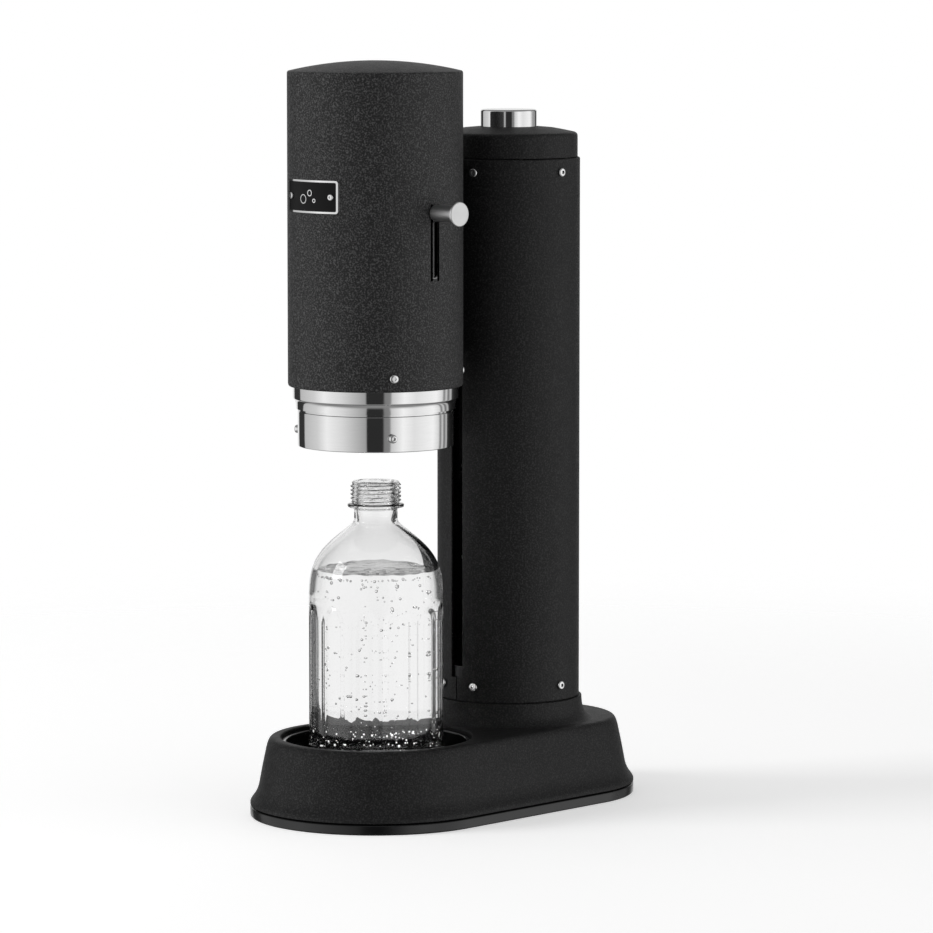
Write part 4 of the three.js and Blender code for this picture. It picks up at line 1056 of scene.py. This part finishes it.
class CARBONATOR_OT_screws(bpy.types.Operator):
    """Builds the screws of head, hem, column and nameplate"""
    bl_idname = "carbonator.screws"
    bl_label = "Screws"

    def execute(self, context):
        plain = screw_head("screw_plain", 2.8 * MM, 1.7 * MM)
        proud = screw_head("screw_proud", 2.8 * MM, 3.7 * MM)
        small = screw_head("screw_round", 2.0 * MM, 1.15 * MM)
        on_head = (plain, "frame", radius("head_shell") + 0.05 * MM, HEAD_Y)
        kinds = {
            "column": (plain, "frame", radius("column_shell") + 0.05 * MM, COLUMN_Y),
            "hem": (proud, "shield", radius("shield_hem") + 0.05 * MM, HEAD_Y),
            "neck": on_head,
            "shell": on_head,
            "nameplate": (small, "frame", HEAD_Y - low("nameplate").y - 0.2 * MM, HEAD_Y)}
        for kind, seat in kinds.items():
            for node in frame["nodes"]:
                if node.startswith(kind + "_screw"):
                    self.copy(node, *seat)
        for source in (plain, proud, small):
            bpy.data.objects.remove(source)
        return {"FINISHED"}

    @staticmethod
    def copy(node, source, body, distance, axis_y):
        """Copies a head to a screw's place, with a turn of its own that is always the same."""
        screw = source.copy()
        screw.data = source.data.copy()
        screw.name = node + "_fine"
        bpy.context.scene.collection.objects.link(screw)
        only(screw)
        screw.rotation_euler = (0, 0, math.radians(37) * (sum(map(ord, node)) % 7))
        settle(screw)
        place = middle(node)
        outward(screw, math.atan2(place.x, axis_y - place.y), distance, place.z, axis_y)
        finish_piece(screw, body, "polished_steel", node)


# ------------------------------------------------------------------ bottle, water and bubbles

def bottle_outline(inset=0.0):
    """Half outline of the bottle from its foot up to the neck, as (radius, height) pairs."""
    size = radius("bottle") - inset
    foot = low("bottle").z + inset
    neck = BOTTLE_NECK - inset
    points = [(size * 0.80, foot), (size * 0.93, foot + 0.6 * MM), (size * 0.99, foot + 3 * MM)]
    heel = foot + 6 * MM
    points.append((size, heel))
    shoulder = foot + 101.7 * MM - 1.2 * inset
    for step in range(1, 41):
        points.append((size, heel + (shoulder - foot - 6 * MM) * step / 40))
    for step in range(1, 37):
        rise = step / 36
        points.append((neck + (size - neck) * (1 - rise ** 3.7) ** 1.5, shoulder + 55 * MM * rise))
    return points


def raise_group(piece, name, weights, strength, **values):
    """Moves the corners of a piece by a weight each, given as (index, weight) pairs."""
    group = piece.vertex_groups.new(name=name)
    for index, weight in weights:
        group.add([index], weight, "REPLACE")
    modify(piece, "DISPLACE", strength=strength, vertex_group=name, **values)


class CARBONATOR_OT_bottle(bpy.types.Operator):
    """Builds the fluted glass bottle with its threaded neck"""
    bl_idname = "carbonator.bottle"
    bl_label = "Bottle"

    def execute(self, context):
        foot, mouth = levels("bottle")
        bore, bead = 11.4 * MM, mouth - 15 * MM
        start, end, rows = bead + 1.6 * MM, mouth - 0.8 * MM, 54
        outside = outline(0, foot, (0, 3.2), (22, 2.4), (31, 0.6))
        outside += bottle_outline()
        outside.at(BOTTLE_NECK, bead).to((0, -3), (0.3, -1.9)).bend((0.8, -1.2), (3.4, -1.1), 4)
        outside.to((4.0, -0.7), (4.0, 0.6), (3.4, 1.0), (1.4, 1.3))
        outside += [(BOTTLE_NECK + 1.2 * MM, start + (end - start) * row / rows) for row in range(rows + 1)]
        outside.at(BOTTLE_NECK, mouth).to((1.0, -0.3), (0.4, 0))
        inside = outline(bore, mouth, (0.6, 0), (0, -0.6), (0, -20))
        inner = reversed(bottle_outline(BOTTLE_WALL)[3:])
        inside += [(r, z) for r, z in inner if r < bore or z < mouth - 23 * MM]
        inside.at(0, foot).to((33, 7), (20, 8), (0, 8.6))
        bottle = turned("bottle_fine", outside + inside, y=HEAD_Y, steps=192)
        flutes = self.flutes(bottle, foot)
        raise_group(bottle, "flutes", flutes, -sizes().flute_depth, mid_level=0.0)
        thread = self.thread(bottle, start, end)
        raise_group(bottle, "thread", thread, 1.05 * MM, mid_level=0.0)
        finish_piece(smooth(bottle, 60), "bottle", "glass", "bottle")
        return {"FINISHED"}

    @staticmethod
    def flutes(bottle, foot):
        """How deep each corner of the body's outside lies in its arched flute."""
        count, size = sizes().flute_count, radius("bottle")
        spring, crown, half = 124 * MM, 10 * MM, 0.40
        first = math.radians(6.7)
        for vertex in bottle.data.vertices:
            across, height = from_axis(vertex.co), vertex.co.z
            inside = across < size - 2.2 * MM and height < 130 * MM
            if inside or height < foot + 1 * MM or across < size - 4 * MM:
                continue
            angle = math.atan2(vertex.co.x, HEAD_Y - vertex.co.y) - first
            share = (angle * count / TURN + 0.5) % 1 - 0.5
            edge = 1 - min(1, abs(share) / half)
            reach = spring
            if abs(share) < half:
                reach += crown * math.sqrt(max(0, 1 - (share / half) ** 2))
            fade = max(0, min(1, (reach - height) / (5 * MM)))
            foot_fade = max(0, min(1, (height - foot - 1 * MM) / (4 * MM)))
            weight = (1 - (1 - min(1, edge * 3.2)) ** 2) * fade * foot_fade
            if weight > 0:
                yield vertex.index, weight

    @staticmethod
    def thread(bottle, start, end):
        """How far each corner of the neck's outside stands out in the screw thread."""
        pitch = sizes().thread_pitch
        for vertex in bottle.data.vertices:
            if not start < vertex.co.z < end or from_axis(vertex.co) < 12.6 * MM:
                continue
            turn = math.atan2(vertex.co.y - HEAD_Y, vertex.co.x) / TURN
            share = ((vertex.co.z - start) / pitch - turn) % 1
            ridge = max(0, 1 - abs(share - 0.5) / 0.34)
            runout = min(1, (vertex.co.z - start) / (1 * MM), (end - vertex.co.z) / (1.2 * MM))
            if ridge > 0:
                yield vertex.index, min(1, ridge * 1.7) * max(0, runout)


def water_outline(level):
    """Outline of the water, a hair inside the glass, and its radius at its level."""
    inner = [(r + 0.05 * MM, z) for r, z in bottle_outline(BOTTLE_WALL)[3:]]
    below = [point for point in inner if point[1] < level - 1.5 * MM]
    last, after = below[-1], inner[len(below)]
    share = (level - last[1]) / (after[1] - last[1])
    return below, last[0] + (after[0] - last[0]) * share


def ripple(x, y):
    """Crossing waves on the water's surface, between -1 and 1."""
    wave = math.sin(x * 210 + 0.7) * math.cos(y * 260 - 0.4) + 0.7 * math.sin(x * 410 - y * 330 + 1.9)
    return 0.4 * wave + 0.3 * math.sin(y * 620 + x * 150)


def sphere_cloud(name, spheres):
    """Small spheres of given (radius, place), joined into one piece."""
    batches = []
    for number, (size, place) in enumerate(spheres):
        first = number % 24 == 0
        if first:
            deselect()
        bpy.ops.mesh.primitive_uv_sphere_add(segments=8, ring_count=6, radius=size, location=place)
        if first:
            batches.append(named(f"{name}_{number}"))
            edit("DESELECT")
    deselect()
    piece = join(*batches)
    piece.name = name
    return smooth(settle(piece), 80)


class CARBONATOR_OT_water(bpy.types.Operator):
    """Builds the water with its rippled surface and the bubbles in it"""
    bl_idname = "carbonator.water"
    bl_label = "Water and bubbles"

    def execute(self, context):
        foot, level = low("bottle").z, sizes().water_level
        below, edge = water_outline(level)
        profile = outline(0, foot, (0, 8.5), (20, 7.9), (33, 6.9)) + below
        profile += [(edge * share / 18, level) for share in range(18, -1, -1)]
        water = turned("water", profile, y=HEAD_Y, steps=144)
        flat, weights = 0.42, []
        for vertex in water.data.vertices:
            if vertex.co.z > level - 0.01 * MM:
                climb = 0.16 * (from_axis(vertex.co) / edge) ** 6
                wave = 0.4 * ripple(vertex.co.x, vertex.co.y - HEAD_Y)
                weights.append((vertex.index, flat + wave + climb))
        raise_group(water, "surface", weights, 3 * MM, mid_level=flat, direction="Z")
        finish_piece(smooth(water, 60), "bottle", "glass", finish="water")
        self.bubbles(foot + 11 * MM, level - 2 * MM)
        return {"FINISHED"}

    @staticmethod
    def bubbles(bottom, top):
        """Bubbles in rising strings, along the glass, in a rim at the surface and in a crowd at the foot."""
        rng = random.Random(11)
        wall = radius("bottle") - 4.6 * MM
        strings = [(rng.uniform(0, TURN), wall * math.sqrt(rng.uniform(0.1, 0.95))) for _ in range(16)]
        loose, crowd = [], []
        for _ in range(sizes().bubble_count):
            kind = rng.random()
            height = bottom + (top - bottom) * rng.random()
            size = min(0.95 * MM, 0.36 * MM + rng.expovariate(1 / (0.2 * MM)))
            if kind < 0.30:
                angle, across = rng.choice(strings)
                across += rng.gauss(0, 0.6 * MM)
            elif kind < 0.62:
                angle, across = rng.uniform(0, TURN), wall - abs(rng.gauss(0, 1.2 * MM))
            elif kind < 0.80:
                angle, across = rng.uniform(0, TURN), wall
                height = top - abs(rng.gauss(0, 0.9 * MM))
            else:
                angle, across = studio().azimuth + rng.gauss(0, 0.75), wall - abs(rng.gauss(0, 1 * MM))
                height = bottom + 18 * MM * rng.random()
            limit = wall if height < 120 * MM else wall - (height - 120 * MM) * 0.16
            across = max(0, min(across, limit))
            place = (across * math.sin(angle), HEAD_Y - across * math.cos(angle), height)
            (loose if kind < 0.80 else crowd).append((size, place))
        finish_piece(sphere_cloud("bubbles", loose), "bottle", "glass", finish="bubble")
        # The crowd at the foot gets the glowing glass: a painted glint.
        finish_piece(sphere_cloud("bubbles_foot", crowd), "bottle", "glass", finish="bubble_painted_glint")


# ------------------------------------------------------------------ finishes on the frame's own nodes

class CARBONATOR_OT_finishes(bpy.types.Operator):
    """Builds the materials and gives each frame node the one of its slot"""
    bl_idname = "carbonator.finishes"
    bl_label = "Finishes"

    def execute(self, context):
        make_materials()
        for part in frame["record"]["subparts"]:
            node = frame["nodes"][part["node"]]
            node.data.materials.clear()
            node.data.materials.append(material(part["material_slot"]))
        return {"FINISHED"}


# ------------------------------------------------------------------ studio

def azimuth_ramp(tree, share, stops):
    """Brightness by angle from the camera's side, in degrees, from -180 to 180."""
    ramp = add(tree, "ShaderNodeValToRGB", {"Fac": share})
    elements = ramp.color_ramp.elements
    for element, (degrees, value) in zip((elements[0], elements[1]), (stops[0], stops[-1])):
        element.position, element.color = degrees / 360 + 0.5, (value, value, value, 1)
    for degrees, value in stops[1:-1]:
        elements.new(degrees / 360 + 0.5).color = (value, value, value, 1)
    return ramp.outputs["Color"]


def sky(tree):
    """A studio seen three ways: white behind, softboxes in reflections, dark flags through glass."""
    tree.nodes.clear()
    place = add(tree, "ShaderNodeTexCoord").outputs["Generated"]
    x, y, z = add(tree, "ShaderNodeSeparateXYZ", {"Vector": place}).outputs
    angle = calc(tree, "ARCTAN2", x, calc(tree, "MULTIPLY", y, -1.0))
    turned_angle = calc(tree, "SUBTRACT", angle, studio().azimuth)
    share = calc(tree, "FRACT", calc(tree, "ADD", calc(tree, "DIVIDE", turned_angle, TURN), 1.5))
    slope = calc(tree, "ABSOLUTE", z)
    boxes = azimuth_ramp(tree, share, [
        (-180, 0.9), (-157, 0.9), (-154, 0.04), (-130, 0.04), (-128, 0.6), (-95, 0.78), (-76, 1.1),
        (-50, 0.88), (-30, 0.62), (-13, 0.42), (-11.5, 0.03), (12, 0.03), (13.5, 0.24), (22, 0.28),
        (24, 0.72), (42, 1.15), (60, 0.95), (95, 1.15), (108, 0.85), (112, 0.2), (118, 0.75),
        (123, 0.15), (130, 0.6), (136, 0.08), (152, 0.08), (158, 0.8), (180, 0.9)])
    flags = azimuth_ramp(tree, share, [
        (-180, 0.91), (-150, 0.89), (-142, 0.76), (-136, 0.05), (-116, 0.03), (-104, 0.6), (-85, 0.75),
        (85, 0.75), (104, 0.6), (116, 0.03), (136, 0.05), (142, 0.76), (150, 0.89), (180, 0.91)])
    reflected = mixed(tree, smoothed(tree, slope, 0.35, 0.7), boxes, opaque((0.28,) * 3))
    refracted = mixed(tree, smoothed(tree, slope, 0.4, 0.7), flags, opaque((0.5,) * 3))
    path = add(tree, "ShaderNodeLightPath").outputs
    shader = add(tree, "ShaderNodeBackground", {"Color": reflected}).outputs[0]
    for tone, ray in ((refracted, "Is Transmission Ray"), ((1, 1, 1, 1), "Is Camera Ray")):
        background = add(tree, "ShaderNodeBackground", {"Color": tone}).outputs[0]
        shader = add(tree, "ShaderNodeMixShader", {"Fac": path[ray], 1: shader, 2: background}).outputs[0]
    add(tree, "ShaderNodeOutputWorld", {"Surface": shader})


def soft_light(name, place, target, size, power):
    """A square area lamp that no reflection shows."""
    deselect()
    bpy.ops.object.light_add(type="AREA", location=place)
    lamp = bpy.context.object
    lamp.name = name
    lamp.data.shape = "RECTANGLE"
    lamp.data.size = lamp.data.size_y = size
    lamp.data.energy = power
    lamp.visible_glossy = False
    lamp.rotation_euler = (Vector(target) - Vector(place)).to_track_quat("-Z", "Y").to_euler()


class CARBONATOR_OT_stage(bpy.types.Operator):
    """Builds the pale floor, the soft studio light and the camera"""
    bl_idname = "carbonator.stage"
    bl_label = "Stage"

    def execute(self, context):
        scene = context.scene
        scene.view_settings.view_transform = "Standard"
        scene.world = bpy.data.worlds.new("studio")
        scene.world.use_nodes = True
        sky(scene.world.node_tree)
        self.floor()
        soft_light("softbox_left", (-1.5, -2.4, 1.5), (0, 0, 0.25), 1.2, 38)
        soft_light("softbox_top", (-0.9, -0.3, 2.6), (0, 0, 0.1), 1.6, 4)
        self.camera(scene)
        return {"FINISHED"}

    @staticmethod
    def floor():
        """White paper that glows a little and fades out before it reaches the softboxes."""
        deselect()
        bpy.ops.mesh.primitive_circle_add(
            vertices=96, radius=1.3, fill_type="NGON", location=(0, 0, -0.05 * MM))
        floor = settle(named("floor"))
        tree, shader, place = new_material("floor_white")
        reach = add(tree, "ShaderNodeVectorMath", {0: place}, operation="LENGTH").outputs["Value"]
        feed(tree, shader, {
            "Base Color": (0.9, 0.9, 0.9, 1),
            "Roughness": 0.9,
            "Specular IOR Level": 0.05,
            "Emission Color": (1, 1, 1, 1),
            "Emission Strength": 0.45,
            "Alpha": smoothed(tree, reach, 0.45, 1.2, 1.0, 0.0)})
        floor.data.materials.append(material("floor_white"))
        floor.visible_diffuse = floor.visible_glossy = floor.visible_transmission = False

    @staticmethod
    def camera(scene):
        settings = studio()
        away = Vector((
            math.sin(settings.azimuth) * math.cos(settings.elevation),
            -math.cos(settings.azimuth) * math.cos(settings.elevation),
            math.sin(settings.elevation)))
        deselect()
        bpy.ops.object.camera_add(location=Vector(settings.target) + away * settings.distance)
        camera = bpy.context.object
        camera.name = "camera"
        camera.rotation_euler = (-away).to_track_quat("-Z", "Y").to_euler()
        camera.data.lens = settings.lens
        camera.data.sensor_width = 36.0
        camera.data.clip_end = 400
        scene.camera = camera


# ------------------------------------------------------------------ panel and run

class CARBONATOR_PT_panel(bpy.types.Panel):
    """Lists the carbonator's pieces"""
    bl_idname = "CARBONATOR_PT_panel"
    bl_label = "Soda Carbonator"
    bl_space_type = "VIEW_3D"
    bl_region_type = "UI"
    bl_category = "Carbonator"

    def draw(self, context):
        for settings in (sizes(), finishes(), studio()):
            for key in settings.__annotations__:
                self.layout.prop(settings, key)
        for operator in OPERATORS:
            self.layout.operator(operator.bl_idname)


SETTINGS = (CarbonatorSizes, CarbonatorFinishes, CarbonatorStudio)
OPERATORS = (
    CARBONATOR_OT_stage,
    CARBONATOR_OT_finishes,
    CARBONATOR_OT_base,
    CARBONATOR_OT_foot,
    CARBONATOR_OT_tray,
    CARBONATOR_OT_head,
    CARBONATOR_OT_shield,
    CARBONATOR_OT_nozzle,
    CARBONATOR_OT_column,
    CARBONATOR_OT_button,
    CARBONATOR_OT_lever,
    CARBONATOR_OT_nameplate,
    CARBONATOR_OT_screws,
    CARBONATOR_OT_bottle,
    CARBONATOR_OT_water,
)


def register():
    for entry in (*SETTINGS, *OPERATORS, CARBONATOR_PT_panel):
        bpy.utils.register_class(entry)
    bpy.types.Scene.carbonator_sizes = bpy.props.PointerProperty(type=CarbonatorSizes)
    bpy.types.Scene.carbonator_finishes = bpy.props.PointerProperty(type=CarbonatorFinishes)
    bpy.types.Scene.carbonator_studio = bpy.props.PointerProperty(type=CarbonatorStudio)


def unregister():
    del bpy.types.Scene.carbonator_sizes
    del bpy.types.Scene.carbonator_finishes
    del bpy.types.Scene.carbonator_studio
    for entry in reversed((*SETTINGS, *OPERATORS, CARBONATOR_PT_panel)):
        bpy.utils.unregister_class(entry)


def main():
    register()
    for operator in OPERATORS:
        group, name = operator.bl_idname.split(".")
        getattr(getattr(bpy.ops, group), name)()


if __name__ == "__main__":
    main()
